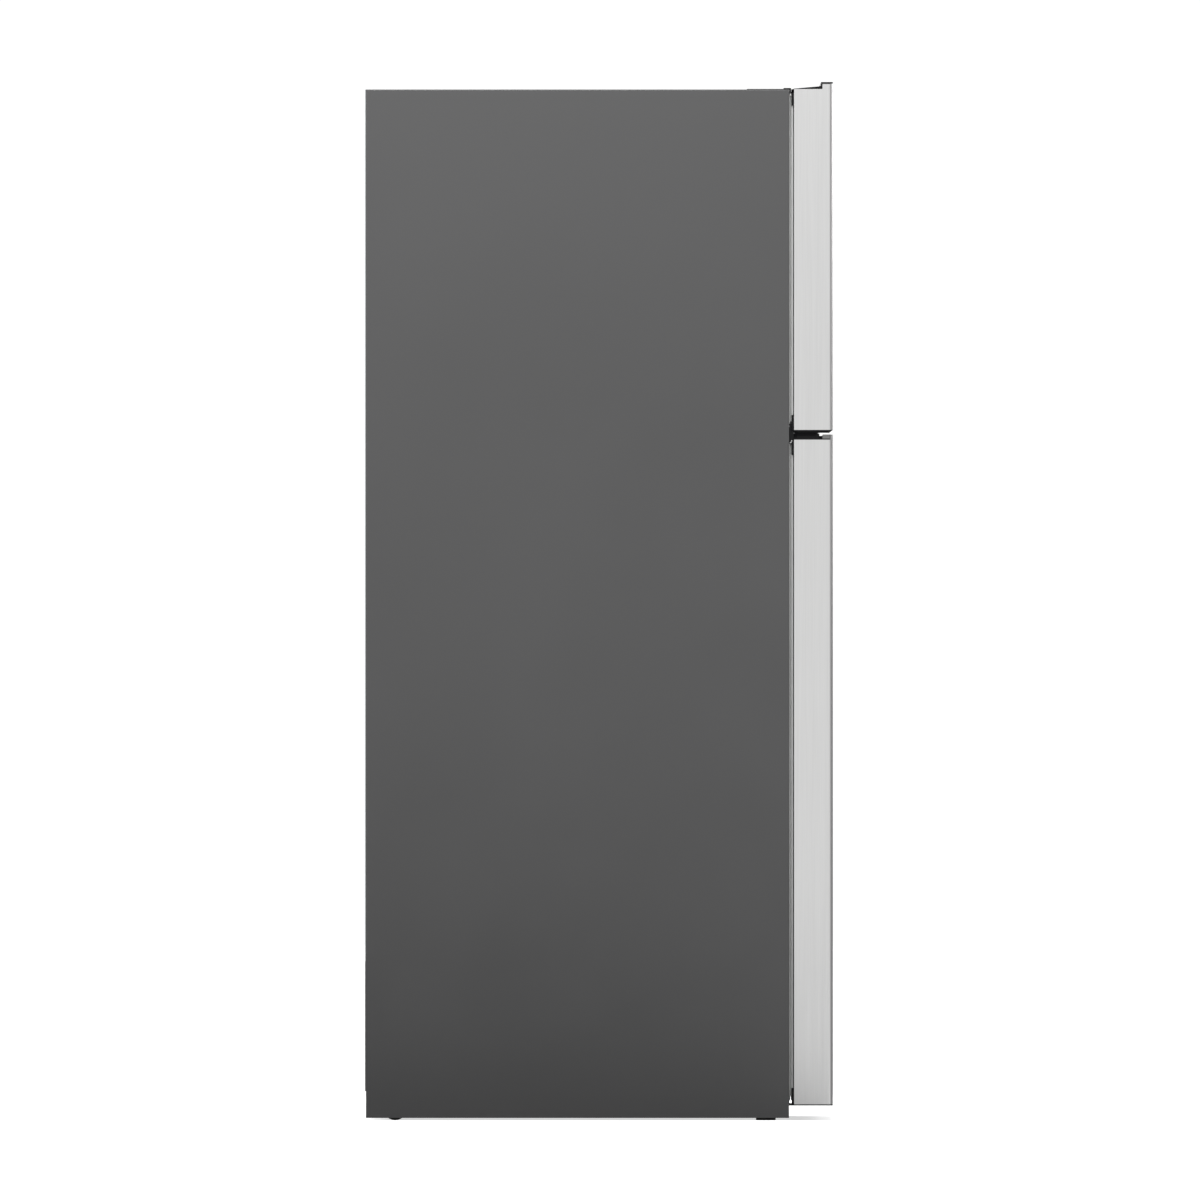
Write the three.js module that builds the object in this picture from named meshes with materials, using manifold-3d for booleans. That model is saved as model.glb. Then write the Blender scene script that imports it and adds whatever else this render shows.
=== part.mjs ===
// Two-door top-freezer refrigerator. Millimetres, +Z up, doors facing -Y, hinges on the right (+X).
// A row is read in cyclic order: about z the pair is (x, y), about x it is (y, z), about y it is (z, x).
import * as THREE from "three";
import { mergeVertices } from "three/addons/utils/BufferGeometryUtils.js";
import Module from "manifold-3d";

const wasm = await Module();
wasm.setup();

// Overall sizes of the closed refrigerator.
const WIDTH = 710;
const DEPTH = 757;
const HEIGHT = 1680;
const FREEZER_DOOR = 556; // height of the freezer door's zone, from the cabinet top down
const DOOR_THICK = 63;
const DOOR_SLIT = 8; // between the door backs and the cabinet front, filled by the gaskets
const CROWN = 12; // how far the freezer door's front rises above the cabinet top
const FLOOR_GAP = 4; // under the cabinet sides

// Stock and fits.
const SHEET = 1; // painted and stainless sheet
const WALL = 1.5; // moulded liner
const MOULD = 2; // moulded bins and trims
const GAP = 0.3; // between touching pieces
const INSIDE = SHEET + GAP; // from an outer face to what the sheet encloses

// Planes of the assembly.
const HALF = WIDTH / 2;
const FRONT = -DEPTH / 2;
const BACK = DEPTH / 2;
const DOOR_BACK = FRONT + DOOR_THICK;
const CAB_FRONT = DOOR_BACK + DOOR_SLIT;
const CAB_TOP = HEIGHT - CROWN;
const SPLIT = CAB_TOP - FREEZER_DOOR; // top face of the centre hinge plate
const FLANGE = 30; // front return of the cabinet sheet
const OPENING = HALF - FLANGE - GAP; // half width of the fronts set between the returns

// Base and machine compartment.
const PAN_BOTTOM = 22;
const PAN_TOP = 46;
const PAN_SHEET = 1.2;
const UPSTAND = 69.7; // top of the base pan's front face
const NICHE_FRONT = BACK - 206;
const NICHE_TOP = 258;
const LEG_X = HALF - 55;
const LEG_Y = CAB_FRONT + 37.5;
const LEG_THREAD = 5;
const ROLLER_Y = BACK - 48.5;
const ROLLER_R = 20;
const ROLLER_HALF = 9;
const AXLE_R = 4;

// Compartments, as clear inner sizes.
const FREEZER = { half: HALF - 54.5, bottom: SPLIT + 34, top: CAB_TOP - 58, back: BACK - 63.5 };
const FRIDGE = { half: HALF - 49, bottom: 100, top: SPLIT - 34, back: BACK - 53.5 };
const HUMP_FRONT = NICHE_FRONT - 51.5;
const HUMP_TOP = NICHE_TOP + 52;
const SHELF_FRONT = CAB_FRONT + 107.5;
const SHELF_BACK = FRIDGE.back - 29;
const SHELF_THICK = 5;
const SPILL_LIP = 4;
const SHELF_SHARES = [0.25, 0.52, 0.77]; // of the height between crisper cover and controls
const CRISPER_COVER = HUMP_TOP + 8;
const CONTROL_BOTTOM = FRIDGE.top - 38;
const FREEZER_SHELF = FREEZER.bottom + 226;
const LEDGE = 9;

// Hinges. One vertical axis serves both doors.
const HINGE_X = HALF - 10;
const HINGE_Y = CAB_FRONT - 22;
const HINGE_LEFT = HINGE_X - 27;
const HINGE_RIGHT = HINGE_X + 7;
const HINGE_FRONT = HINGE_Y - 15.5;
const HINGE_PLATE = 3;
const PIN_R = 4;
const PIN_BORE = 4.5;
const LOW_HINGE = 17; // underside of the bottom hinge plate

// Doors.
const CORNER_R = 7;
const RETURN = 12; // back return of the door sheet
const LIP_DEPTH = 17; // raised strip along the front of a door's top
const GASKET_EDGE = HALF - 11;
const GASKET_WIDTH = 17;
const PAN_RISE = 6; // raised field of a door liner
const DIKE_RISE = 53;
const DIKE_WIDTH = 20;
const BIN_DEPTH = 94;
const GRIP_HALF = 180;
const GRIP_DEPTH = 37;
const TAB_RISE_LEFT = 4;
const TAB_RISE_RIGHT = 2.5;
const PLUG = 13; // how far an end cap reaches into the door sheet
const FREEZER_LEAF = {
  bottom: SPLIT + 5,
  top: CAB_TOP + 0.8,
  lip: HEIGHT - 2.4,
  gasket: [SPLIT + 14, CAB_TOP - 6],
  lowTab: [SPLIT + 3.5, SPLIT + 29.3],
  highTab: [CAB_TOP - 26, CAB_TOP - 0.8],
  dike: [FREEZER.bottom + 10, FREEZER.top - 10],
  dikeEdge: FREEZER.half - 14.5,
  grip: [SPLIT + 5, SPLIT + 42],
  notch: [SPLIT + 4, SPLIT + 24],
  bins: [
    { floor: FREEZER.bottom + 34, height: 92 },
    { floor: FREEZER.bottom + 0.58 * (FREEZER.top - FREEZER.bottom), height: 84 },
  ],
};
const FRIDGE_LEAF = {
  bottom: 25.8,
  top: SPLIT - 9.8,
  lip: SPLIT - 2.2,
  gasket: [36, SPLIT - 15],
  lowTab: [25.8, 52.5],
  highTab: [SPLIT - 35.4, SPLIT - 12.8],
  dike: [FRIDGE.bottom + 10, FRIDGE.top - 10],
  dikeEdge: FRIDGE.half - 14,
  grip: [SPLIT - 46, SPLIT - 4],
  notch: [SPLIT - 28, SPLIT],
  bins: [
    { floor: FRIDGE.bottom + 60, height: 150 },
    { floor: FRIDGE.bottom + 0.46 * (FRIDGE.top - FRIDGE.bottom), height: 96 },
    { floor: FRIDGE.top - 176, height: 82 },
  ],
};
const LID_PIVOT_Y = DOOR_BACK + 15.5;
const LID_BARREL = 3.4;

// Door switches, set in the left front faces of the liners.
const SWITCH_X = -(HALF - 39);
const SWITCH_R = 8;
const PLUNGER_R = 4.6;
const FREEZER_SWITCH = FREEZER.bottom + 0.6 * (FREEZER.top - FREEZER.bottom);
const FRIDGE_SWITCH = FRIDGE.top - 120;

// Finishes: colour, roughness, metalness.
const GREY_PAINT = [0x56575a, 0.45, 0.2];
const STAINLESS = [0xc9c9c7, 0.32, 0.9];
const WHITE_LINER = [0xf1f2f0, 0.5, 0];
const BLACK_PLASTIC = [0x17181a, 0.5, 0];
const SEAL_GREY = [0xb4b6b6, 0.8, 0];
const GALVANISED = [0xa9adb0, 0.4, 0.85];
const FOAM = [0xe2cf9a, 0.95, 0];
const CLEAR = [0xdfeaf0, 0.12, 0];
const DARK_STEEL = [0x202226, 0.4, 0.7];
const COPPER = [0xb56a3f, 0.35, 0.9];
const ALUMINIUM = [0xc4c8cb, 0.35, 0.9];

const X = new THREE.Vector3(1, 0, 0);
const Y = new THREE.Vector3(0, 1, 0);
const Z = new THREE.Vector3(0, 0, 1);
const BASIS = {
  x: new THREE.Matrix4().makeBasis(Y, Z, X),
  y: new THREE.Matrix4().makeBasis(Z, X, Y),
  z: new THREE.Matrix4(),
};

// A closed three.js geometry as a solid that can be joined and cut.
function solid(geometry) {
  geometry.deleteAttribute("normal");
  geometry.deleteAttribute("uv");
  const merged = mergeVertices(geometry);
  return new wasm.Manifold(
    new wasm.Mesh({
      numProp: 3,
      vertProperties: new Float32Array(merged.attributes.position.array),
      triVerts: new Uint32Array(merged.index.array),
    }),
  );
}

function join(...pieces) {
  return pieces.flat().reduce((whole, piece) => whole.add(piece));
}

function cut(body, ...tools) {
  return tools.flat().reduce((rest, tool) => rest.subtract(tool), body);
}

function box(x0, x1, y0, y1, z0, z1) {
  const block = new THREE.BoxGeometry(x1 - x0, y1 - y0, z1 - z0);
  return solid(block.translate((x0 + x1) / 2, (y0 + y1) / 2, (z0 + z1) / 2));
}

// A box spanning from -half to half in x.
function wide(half, y0, y1, z0, z1) {
  return box(-half, half, y0, y1, z0, z1);
}

function extrude(shape, axis, from, to) {
  const options = { depth: to - from, bevelEnabled: false, curveSegments: 4 };
  const prism = new THREE.ExtrudeGeometry(shape, options).translate(0, 0, from);
  return solid(prism.applyMatrix4(BASIS[axis]));
}

// A profile given as [y, z] corners, run along x.
function profile(corners, x0, x1) {
  return extrude(new THREE.Shape(corners.map(([y, z]) => new THREE.Vector2(y, z))), "x", x0, x1);
}

function rod(axis, radius, a, b, from, to, sides = 16) {
  const bar = new THREE.CylinderGeometry(radius, radius, to - from, sides).rotateX(Math.PI / 2);
  return solid(bar.translate(a, b, (from + to) / 2).applyMatrix4(BASIS[axis]));
}

function rounded(a0, a1, b0, b1, radius) {
  const shape = new THREE.Shape();
  shape.moveTo(a0 + radius, b0);
  shape.lineTo(a1 - radius, b0);
  shape.absarc(a1 - radius, b0 + radius, radius, -Math.PI / 2, 0);
  shape.lineTo(a1, b1 - radius);
  shape.absarc(a1 - radius, b1 - radius, radius, 0, Math.PI / 2);
  shape.lineTo(a0 + radius, b1);
  shape.absarc(a0 + radius, b1 - radius, radius, Math.PI / 2, Math.PI);
  shape.lineTo(a0, b0 + radius);
  shape.absarc(a0 + radius, b0 + radius, radius, Math.PI, 1.5 * Math.PI);
  return shape;
}

// An open-topped moulding whose front and back feet are bevelled.
function tub(x0, x1, y0, y1, z0, z1, bevel) {
  const shell = (inset, top) =>
    profile(
      [
        [y0 + inset, z0 + inset + bevel],
        [y0 + inset + bevel, z0 + inset],
        [y1 - inset - bevel, z0 + inset],
        [y1 - inset, z0 + inset + bevel],
        [y1 - inset, top],
        [y0 + inset, top],
      ],
      x0 + inset,
      x1 - inset,
    );
  return cut(shell(0, z1), shell(MOULD, z1 + 1));
}

// A tube path whose stations are the corners given, so a straight run costs one step.
class Run extends THREE.Curve {
  constructor(stations) {
    super();
    this.stations = stations;
  }

  getPoint(t) {
    const place = t * (this.stations.length - 1);
    const first = Math.min(Math.floor(place), this.stations.length - 2);
    return this.stations[first].clone().lerp(this.stations[first + 1], place - first);
  }

  getPointAt(u) {
    return this.getPoint(u);
  }

  getTangentAt(u) {
    const step = 0.5 / (this.stations.length - 1);
    const ahead = this.getPoint(Math.min(u + step, 1));
    return ahead.sub(this.getPoint(Math.max(u - step, 0))).normalize();
  }
}

// A serpentine tube lying in a plane of constant y.
function serpentine(x0, x1, y, z0, passes, pitch, radius) {
  const stations = [];
  const bendSteps = 5;
  for (let pass = 0; pass < passes; pass += 1) {
    const outward = pass % 2 === 0;
    const z = z0 + pass * pitch;
    stations.push(new THREE.Vector3(outward ? x0 : x1, y, z));
    stations.push(new THREE.Vector3(outward ? x1 : x0, y, z));
    for (let step = 1; step < bendSteps && pass < passes - 1; step += 1) {
      const angle = (Math.PI * step) / bendSteps;
      const reach = (Math.sin(angle) * pitch) / 2;
      const rise = ((1 - Math.cos(angle)) * pitch) / 2;
      stations.push(new THREE.Vector3(outward ? x1 + reach : x0 - reach, y, z + rise));
    }
  }
  const ring = new THREE.Shape();
  ring.absarc(0, 0, radius, 0, 2 * Math.PI);
  const options = { extrudePath: new Run(stations), steps: stations.length - 1, curveSegments: 4 };
  return solid(new THREE.ExtrudeGeometry(ring, { ...options, bevelEnabled: false }));
}

// A bladed rotor about the given axis, centred on (a, b, c) in the axis's cyclic order.
function rotor(axis, hub, tip, thick, blades, a, b, c) {
  const pieces = [rod(axis, hub, a, b, c - thick / 2, c + thick / 2, 20)];
  for (let blade = 0; blade < blades; blade += 1) {
    const vane = new THREE.BoxGeometry(tip - hub + 4, hub * 1.3, 1.6).rotateX(0.55);
    vane.translate((tip + hub - 4) / 2, 0, 0).rotateZ((2 * Math.PI * blade) / blades);
    pieces.push(solid(vane.translate(a, b, c).applyMatrix4(BASIS[axis])));
  }
  return cut(join(pieces), rod(axis, 3.4, a, b, c - thick, c + thick, 12));
}

function piece(name, body, [color, roughness, metalness]) {
  const { vertProperties, triVerts } = body.getMesh();
  const geometry = new THREE.BufferGeometry();
  geometry.setAttribute("position", new THREE.BufferAttribute(vertProperties, 3));
  geometry.setIndex(new THREE.BufferAttribute(triVerts, 1));
  const mesh = new THREE.Mesh(
    geometry,
    new THREE.MeshStandardMaterial({ color, roughness, metalness }),
  );
  mesh.name = name;
  return mesh;
}

// ---- Cabinet ----

function cabinetWrapper() {
  const arch = rounded(-HALF, CAB_TOP, -HALF, HALF, 2);
  const open = CAB_TOP - SHEET;
  const sides = cut(
    extrude(arch, "y", CAB_FRONT, BACK - INSIDE),
    wide(HALF - SHEET, CAB_FRONT - 1, BACK, -HALF - 1, open),
  );
  const returns = cut(
    extrude(arch, "y", CAB_FRONT, CAB_FRONT + SHEET),
    wide(HALF - FLANGE, CAB_FRONT - 1, BACK, -HALF - 1, CAB_TOP - FLANGE),
  );
  return cut(join(sides, returns), wide(HALF + 1, CAB_FRONT - 1, BACK, -HALF - 1, FLOOR_GAP));
}

function backPanel() {
  return wide(HALF - 0.5, BACK - SHEET, BACK, NICHE_TOP + GAP, CAB_TOP - 0.5);
}

// The clear space of a compartment grown by its wall, starting from the given front plane.
function hollow(room, grow, from) {
  const low = room === FRIDGE ? HUMP_TOP : room.bottom;
  const main = wide(room.half + grow, from, room.back + grow, low - grow, room.top + grow);
  if (room === FREEZER) return main;
  return main.add(wide(room.half + grow, from, HUMP_FRONT + grow, room.bottom - grow, low + 1));
}

function switchBore(radius, z, from, to) {
  return rod("y", radius, z, SWITCH_X, from, to);
}

function insulation() {
  const fill = wide(
    HALF - INSIDE,
    CAB_FRONT + INSIDE,
    BACK - INSIDE,
    PAN_TOP + GAP,
    CAB_TOP - INSIDE,
  );
  return cut(
    fill,
    wide(HALF, NICHE_FRONT - GAP, BACK, 0, NICHE_TOP + GAP),
    hollow(FREEZER, WALL + GAP, CAB_FRONT),
    hollow(FRIDGE, WALL + GAP, CAB_FRONT),
    switchBore(SWITCH_R + GAP, FREEZER_SWITCH, CAB_FRONT, CAB_FRONT + 25),
    switchBore(SWITCH_R + GAP, FRIDGE_SWITCH, CAB_FRONT, CAB_FRONT + 25),
  );
}

function ledges(room, level, from, to) {
  return [-1, 1].map((side) => {
    const inner = side * (room.half - LEDGE);
    const outer = side * (room.half + WALL / 2);
    return box(Math.min(inner, outer), Math.max(inner, outer), from, to, level - 8, level - GAP);
  });
}

function liner(room, flange, plunger, rests) {
  const body = cut(
    join(
      hollow(room, WALL, CAB_FRONT),
      wide(OPENING, CAB_FRONT, CAB_FRONT + SHEET, flange[0], flange[1]),
      switchBore(SWITCH_R, plunger, CAB_FRONT, CAB_FRONT + 24.5),
    ),
    hollow(room, 0, CAB_FRONT - 1),
    switchBore(PLUNGER_R + 0.4, plunger, CAB_FRONT - 1, CAB_FRONT + 8),
    switchBore(SWITCH_R - 1.1, plunger, CAB_FRONT + 7.5, CAB_FRONT + 23),
  );
  return join(body, rests);
}

function freezerLiner() {
  const rests = ledges(FREEZER, FREEZER_SHELF, SHELF_FRONT + 10, FREEZER.back - 70);
  return liner(FREEZER, [SPLIT + 26 + GAP, CAB_TOP - FLANGE - GAP], FREEZER_SWITCH, rests);
}

function shelfLevel(share) {
  return CRISPER_COVER + share * (CONTROL_BOTTOM - CRISPER_COVER);
}

function fridgeLiner() {
  const levels = [CRISPER_COVER, ...SHELF_SHARES.map(shelfLevel)];
  const rests = levels.map((z) => ledges(FRIDGE, z, SHELF_FRONT + 10, SHELF_BACK)).flat();
  return liner(FRIDGE, [UPSTAND + GAP, SPLIT - 26 - GAP], FRIDGE_SWITCH, rests);
}

function mullionPlate() {
  return wide(OPENING, CAB_FRONT, CAB_FRONT + SHEET, SPLIT - 26, SPLIT + 26);
}

function plunger(z) {
  return join(
    rod("y", PLUNGER_R, z, SWITCH_X, CAB_FRONT - 1.7, CAB_FRONT + 15),
    rod("y", SWITCH_R - 1.5, z, SWITCH_X, CAB_FRONT + 14, CAB_FRONT + 17),
  );
}

// ---- Base and machine compartment ----

function rollerFork(side) {
  const cheeks = [-1, 1].map((face) => {
    const x = side * LEG_X + face * (ROLLER_HALF + 2);
    return box(x - 1, x + 1, ROLLER_Y - 15, ROLLER_Y + 15, ROLLER_R - 8, PAN_TOP - 1);
  });
  const reach = ROLLER_HALF + 2;
  const middle = side * LEG_X;
  return [...cheeks, rod("x", AXLE_R, ROLLER_Y, ROLLER_R, middle - reach, middle + reach, 12)];
}

function basePan() {
  const half = HALF - INSIDE;
  const rear = BACK - 2.5;
  const tray = cut(
    wide(half, CAB_FRONT + INSIDE, rear, PAN_BOTTOM, PAN_TOP),
    wide(
      half - PAN_SHEET,
      CAB_FRONT + INSIDE + PAN_SHEET,
      rear - PAN_SHEET,
      PAN_BOTTOM - 1,
      PAN_TOP - PAN_SHEET,
    ),
  );
  const bosses = [-1, 1].map((side) =>
    rod("z", LEG_THREAD + 6, side * LEG_X, LEG_Y, PAN_BOTTOM, PAN_TOP - 0.5),
  );
  const threads = [-1, 1].map((side) =>
    rod("z", LEG_THREAD + 0.4, side * LEG_X, LEG_Y, PAN_BOTTOM - 1, PAN_TOP - 2, 12),
  );
  const body = join(
    tray,
    wide(OPENING, CAB_FRONT, CAB_FRONT + SHEET, PAN_BOTTOM, UPSTAND),
    wide(OPENING, CAB_FRONT, CAB_FRONT + INSIDE + PAN_SHEET, PAN_BOTTOM, PAN_TOP),
    wide(half, NICHE_FRONT, NICHE_FRONT + PAN_SHEET, PAN_TOP - 1, NICHE_TOP),
    wide(half, NICHE_FRONT, rear, NICHE_TOP - PAN_SHEET, NICHE_TOP),
    bosses,
    rollerFork(-1),
    rollerFork(1),
  );
  return cut(body, threads);
}

function levellingLeg(side) {
  return join(
    rod("z", 16, side * LEG_X, LEG_Y, 0, 7, 20),
    rod("z", LEG_THREAD, side * LEG_X, LEG_Y, 6, PAN_TOP - 4, 12),
  );
}

function roller(side) {
  const middle = side * LEG_X;
  const wheel = rod("x", ROLLER_R, ROLLER_Y, ROLLER_R, middle - ROLLER_HALF, middle + ROLLER_HALF, 24);
  return cut(wheel, rod("x", AXLE_R + 0.4, ROLLER_Y, ROLLER_R, middle - 10, middle + 10, 12));
}

const COMPRESSOR = { x: HALF - 195, y: BACK - 103, r: 62 };
const FAN = { y: BACK - 103, z: 152, ring: 76 };

function compressor() {
  const { x, y, r } = COMPRESSOR;
  const outline = [
    [0, 62],
    [r - 14, 62],
    [r - 3, 72],
    [r - 3, 124],
    [r, 126],
    [r, 132],
    [r - 3, 134],
    [r - 3, 176],
    [r - 20, 200],
    [0, 206],
  ];
  const shell = new THREE.LatheGeometry(
    outline.map(([radius, height]) => new THREE.Vector2(radius, height)),
    24,
  ).rotateX(Math.PI / 2);
  const feet = [-1, 1].flatMap((a) =>
    [-1, 1].map((b) => rod("z", 9, x + a * 66, y + b * 48, PAN_TOP + GAP, 59, 12)),
  );
  return join(
    solid(shell.translate(x, y, 0)),
    box(x - 78, x + 78, y - 60, y + 60, 58, 63),
    box(x + r - 12, x + r + 5, y - 24, y + 24, 96, 156),
    rod("z", 4, x - 30, y + 30, 150, 222, 10),
    rod("z", 5, x - 30, y - 26, 150, 226, 10),
    feet,
  );
}

function relayCover() {
  const face = COMPRESSOR.x + COMPRESSOR.r + 5 + GAP;
  const { y } = COMPRESSOR;
  return join(
    box(face, face + 24, y - 27, y + 27, 92, 160),
    rod("y", 7, 100, face + 22, y + 20, y + 40, 10),
  );
}

function condenserCoil() {
  const y = NICHE_FRONT + 27;
  const left = -(HALF - 34);
  const right = -66;
  const passes = 6;
  const pitch = 30;
  const tube = serpentine(left, right, y, 72, passes, pitch, 3.2);
  const stays = [left + 30, right - 30].map((x) =>
    box(x - 1, x + 1, y - 9, y + 9, PAN_TOP + GAP, 72 + passes * pitch - 20),
  );
  return join(tube, stays);
}

function fanBracket() {
  const { y, z, ring } = FAN;
  const arms = [0, 1, 2].map((arm) => {
    const strut = new THREE.BoxGeometry(ring + 8, 9, 5).translate((ring + 8) / 2, 0, 0);
    strut.rotateZ((2 * Math.PI * arm) / 3 + Math.PI / 2).translate(y, z, -15.5);
    return solid(strut.applyMatrix4(BASIS.x));
  });
  const plate = cut(
    box(-20, -17, y - 90, y + 88, PAN_TOP + GAP, z + 94),
    rod("x", ring, y, z, -22, -15, 32),
  );
  return join(
    plate,
    arms,
    rod("x", 24, y, z, -18, 20),
    rod("x", 3, y, z, -56, -16, 12),
  );
}

function condenserFan() {
  return rotor("x", 20, FAN.ring - 5, 26, 5, FAN.y, FAN.z, -40);
}

function drainPan() {
  return tub(-(HALF - 20), -72, NICHE_FRONT + 60, BACK - 16, PAN_TOP + GAP, 66, 4);
}

function machineCover() {
  const half = HALF - 2;
  const slots = [];
  const columns = 7;
  const pitch = (2 * half - 40) / columns;
  for (let column = 0; column < columns; column += 1) {
    const x = -half + 20 + pitch * (column + 0.5);
    for (const z of [98, 118, 176, 196, 216]) {
      slots.push(box(x - 0.36 * pitch, x + 0.36 * pitch, BACK - 3, BACK + 1, z, z + 7));
    }
  }
  return cut(wide(half, BACK - SHEET, BACK, PAN_TOP + 1, NICHE_TOP - GAP), slots);
}

// ---- Freezer compartment ----

const COVER_Y = FREEZER.back - 51;
const FAN_Z = FREEZER.top - 90;
const FAN_R = 50;

function evaporatorCover() {
  const half = FREEZER.half - 1;
  const panel = wide(half, COVER_Y, COVER_Y + MOULD, FREEZER.bottom + 1, FREEZER.top - 1);
  const grille = [-3, -2, -1, 0, 1, 2, 3].map((slot) => {
    const tall = Math.sqrt(42 * 42 - 144 * slot * slot);
    return box(slot * 12 - 3, slot * 12 + 3, COVER_Y - 1, COVER_Y + 3, FAN_Z - tall, FAN_Z + tall);
  });
  const inlets = [-1, 1].map((side) =>
    box(side * 150 - 90, side * 150 + 90, COVER_Y - 1, COVER_Y + 3, FREEZER.bottom + 14, FREEZER.bottom + 24),
  );
  const collar = cut(
    rod("y", FAN_R + 4, FAN_Z, 0, COVER_Y + 1, COVER_Y + 26, 28),
    rod("y", FAN_R + 2, FAN_Z, 0, COVER_Y, COVER_Y + 30, 28),
  );
  const stays = [0, 1].map((turn) => {
    const bar = new THREE.BoxGeometry(2 * FAN_R + 7, 7, 3).rotateZ((turn * Math.PI) / 2);
    return solid(bar.translate(FAN_Z, 0, COVER_Y + 25).applyMatrix4(BASIS.y));
  });
  return join(
    cut(panel, grille, inlets),
    collar,
    stays,
    rod("y", 17, FAN_Z, 0, COVER_Y + 24, COVER_Y + 44),
    rod("y", 3, FAN_Z, 0, COVER_Y + 7, COVER_Y + 26, 12),
  );
}

function evaporatorFan() {
  return rotor("y", 13, FAN_R - 2, 13, 5, FAN_Z, 0, COVER_Y + 14);
}

function evaporatorCoil() {
  const reach = FREEZER.half - 62;
  const y = FREEZER.back - 22;
  const passes = 6;
  const pitch = 38;
  const z = FREEZER.bottom + 24;
  const plates = [-1, 1].map((side) =>
    box(side * reach - 1, side * reach + 1, y - 18, FREEZER.back - GAP, z - 16, z + (passes - 1) * pitch + 16),
  );
  return join(serpentine(-reach - 14, reach + 14, y, z, passes, pitch, 4), plates);
}

// A glass shelf with its front trim, which stands the given rise above the glass, and its rear stop.
function shelf(room, level, back, rise) {
  const half = room.half - 2;
  return join(
    wide(half, SHELF_FRONT, back, level, level + SHELF_THICK),
    wide(half, SHELF_FRONT - 4, SHELF_FRONT + 2, level - 6, level + SHELF_THICK + rise),
    wide(half, back - 3, back, level, level + SHELF_THICK + 6),
  );
}

const ICE = {
  left: -(FREEZER.half - 6),
  right: -(FREEZER.half - 174),
  front: SHELF_FRONT + 9,
  back: SHELF_FRONT + 300,
  floor: FREEZER_SHELF + SHELF_THICK + GAP,
};
const ICE_X = (ICE.left + ICE.right) / 2;
const ICE_AXIS = ICE.floor + 122;
const ICE_HALF = 72;

function iceFrame() {
  const top = ICE.floor + 146;
  const ends = [ICE.front, ICE.back].map((y) => box(ICE.left, ICE.right, y, y + 3, ICE.floor, top));
  const rails = [ICE.left, ICE.right - 3].map((x) =>
    box(x, x + 3, ICE.front, ICE.back + 3, top - 16, top),
  );
  const mouth = box(ICE.left + 5, ICE.right - 5, ICE.front - 1, ICE.front + 4, ICE.floor - 1, ICE.floor + 50);
  const bearing = rod("y", 4.4, ICE_AXIS, ICE_X, ICE.front - 1, ICE.back + 4, 12);
  return cut(join(ends, rails), mouth, bearing);
}

function iceTrays() {
  const front = ICE.front + 7;
  const back = ICE.back - 5;
  const trough = join(
    box(ICE_X - ICE_HALF, ICE_X + ICE_HALF, front, back, ICE_AXIS - 24, ICE_AXIS + 6),
    rod("y", 4, ICE_AXIS, ICE_X, ICE.front - 7, ICE.back + 2.5, 12),
  );
  const cells = [];
  const rows = 7;
  const pitch = (back - front - 2) / rows;
  for (let row = 0; row < rows; row += 1) {
    const y = front + 2 + row * pitch;
    for (const side of [-1, 1]) {
      const near = ICE_X + (side < 0 ? 3 - ICE_HALF : 5.5);
      const far = ICE_X + (side < 0 ? -5.5 : ICE_HALF - 3);
      cells.push(box(near, far, y, y + pitch - 2, ICE_AXIS - 22, ICE_AXIS + 7));
    }
  }
  return join(cut(trough, cells), rod("y", 13, ICE_AXIS, ICE_X, ICE.front - 9, ICE.front - 1, 20));
}

function iceBin() {
  return tub(ICE.left + 7, ICE.right - 7, ICE.front - 6, ICE.back - 8, ICE.floor, ICE.floor + 40, 5);
}

// ---- Fresh-food compartment ----

function airDuct() {
  const half = 78;
  const low = HUMP_TOP + 14;
  const high = FRIDGE.top - 16;
  const front = FRIDGE.back - 25;
  const shell = cut(
    wide(half, front, FRIDGE.back - GAP, low, high),
    wide(half - MOULD, front + MOULD, FRIDGE.back + 1, low + MOULD, high - MOULD),
  );
  const vents = [...SHELF_SHARES, 0.95].flatMap((share) =>
    [-1, 1].map((side) => {
      const z = shelfLevel(share) - 46;
      return box(side * 40 - 22, side * 40 + 22, front - 1, front + 3, z, z + 8);
    }),
  );
  return cut(shell, vents);
}

function crisper(side) {
  const near = 5;
  const far = FRIDGE.half - 16;
  const x0 = side < 0 ? -far : near;
  const x1 = side < 0 ? -near : far;
  const front = SHELF_FRONT + 2;
  const base = FRIDGE.bottom + 0.8;
  const top = CRISPER_COVER - 15;
  const middle = (x0 + x1) / 2;
  return cut(
    join(
      tub(x0 + 3, x1 - 3, front, HUMP_FRONT - 10, base, top - 4, 6),
      box(x0, x1, front - 7, front + MOULD, base, top),
    ),
    box(middle - 62, middle + 62, front - 8, front - 3, top - 26, top + 1),
  );
}

const DIAL = { x: 70, y: SHELF_FRONT + 40, z: CONTROL_BOTTOM + 19 };

function controlHousing() {
  const body = profile(
    [
      [DIAL.y, CONTROL_BOTTOM],
      [DIAL.y + 190, CONTROL_BOTTOM],
      [DIAL.y + 210, FRIDGE.top - GAP],
      [DIAL.y, FRIDGE.top - GAP],
    ],
    -130,
    130,
  );
  return cut(body, rod("y", 4, DIAL.z, DIAL.x, DIAL.y - 1, DIAL.y + 12, 12));
}

function temperatureDial() {
  const face = DIAL.y - GAP;
  return join(
    rod("y", 17, DIAL.z, DIAL.x, face - 5, face, 24),
    box(DIAL.x - 3, DIAL.x + 3, face - 13, face - 4, DIAL.z - 15, DIAL.z + 15),
    rod("y", 3.6, DIAL.z, DIAL.x, face - 1, DIAL.y + 10, 12),
  );
}

function lightLens() {
  const top = CONTROL_BOTTOM - GAP;
  const y = DIAL.y + 60;
  return cut(wide(64, y, y + 90, top - 12, top), wide(62, y + 2, y + 88, top - 10, top + 1));
}

// ---- Hinges ----

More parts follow.
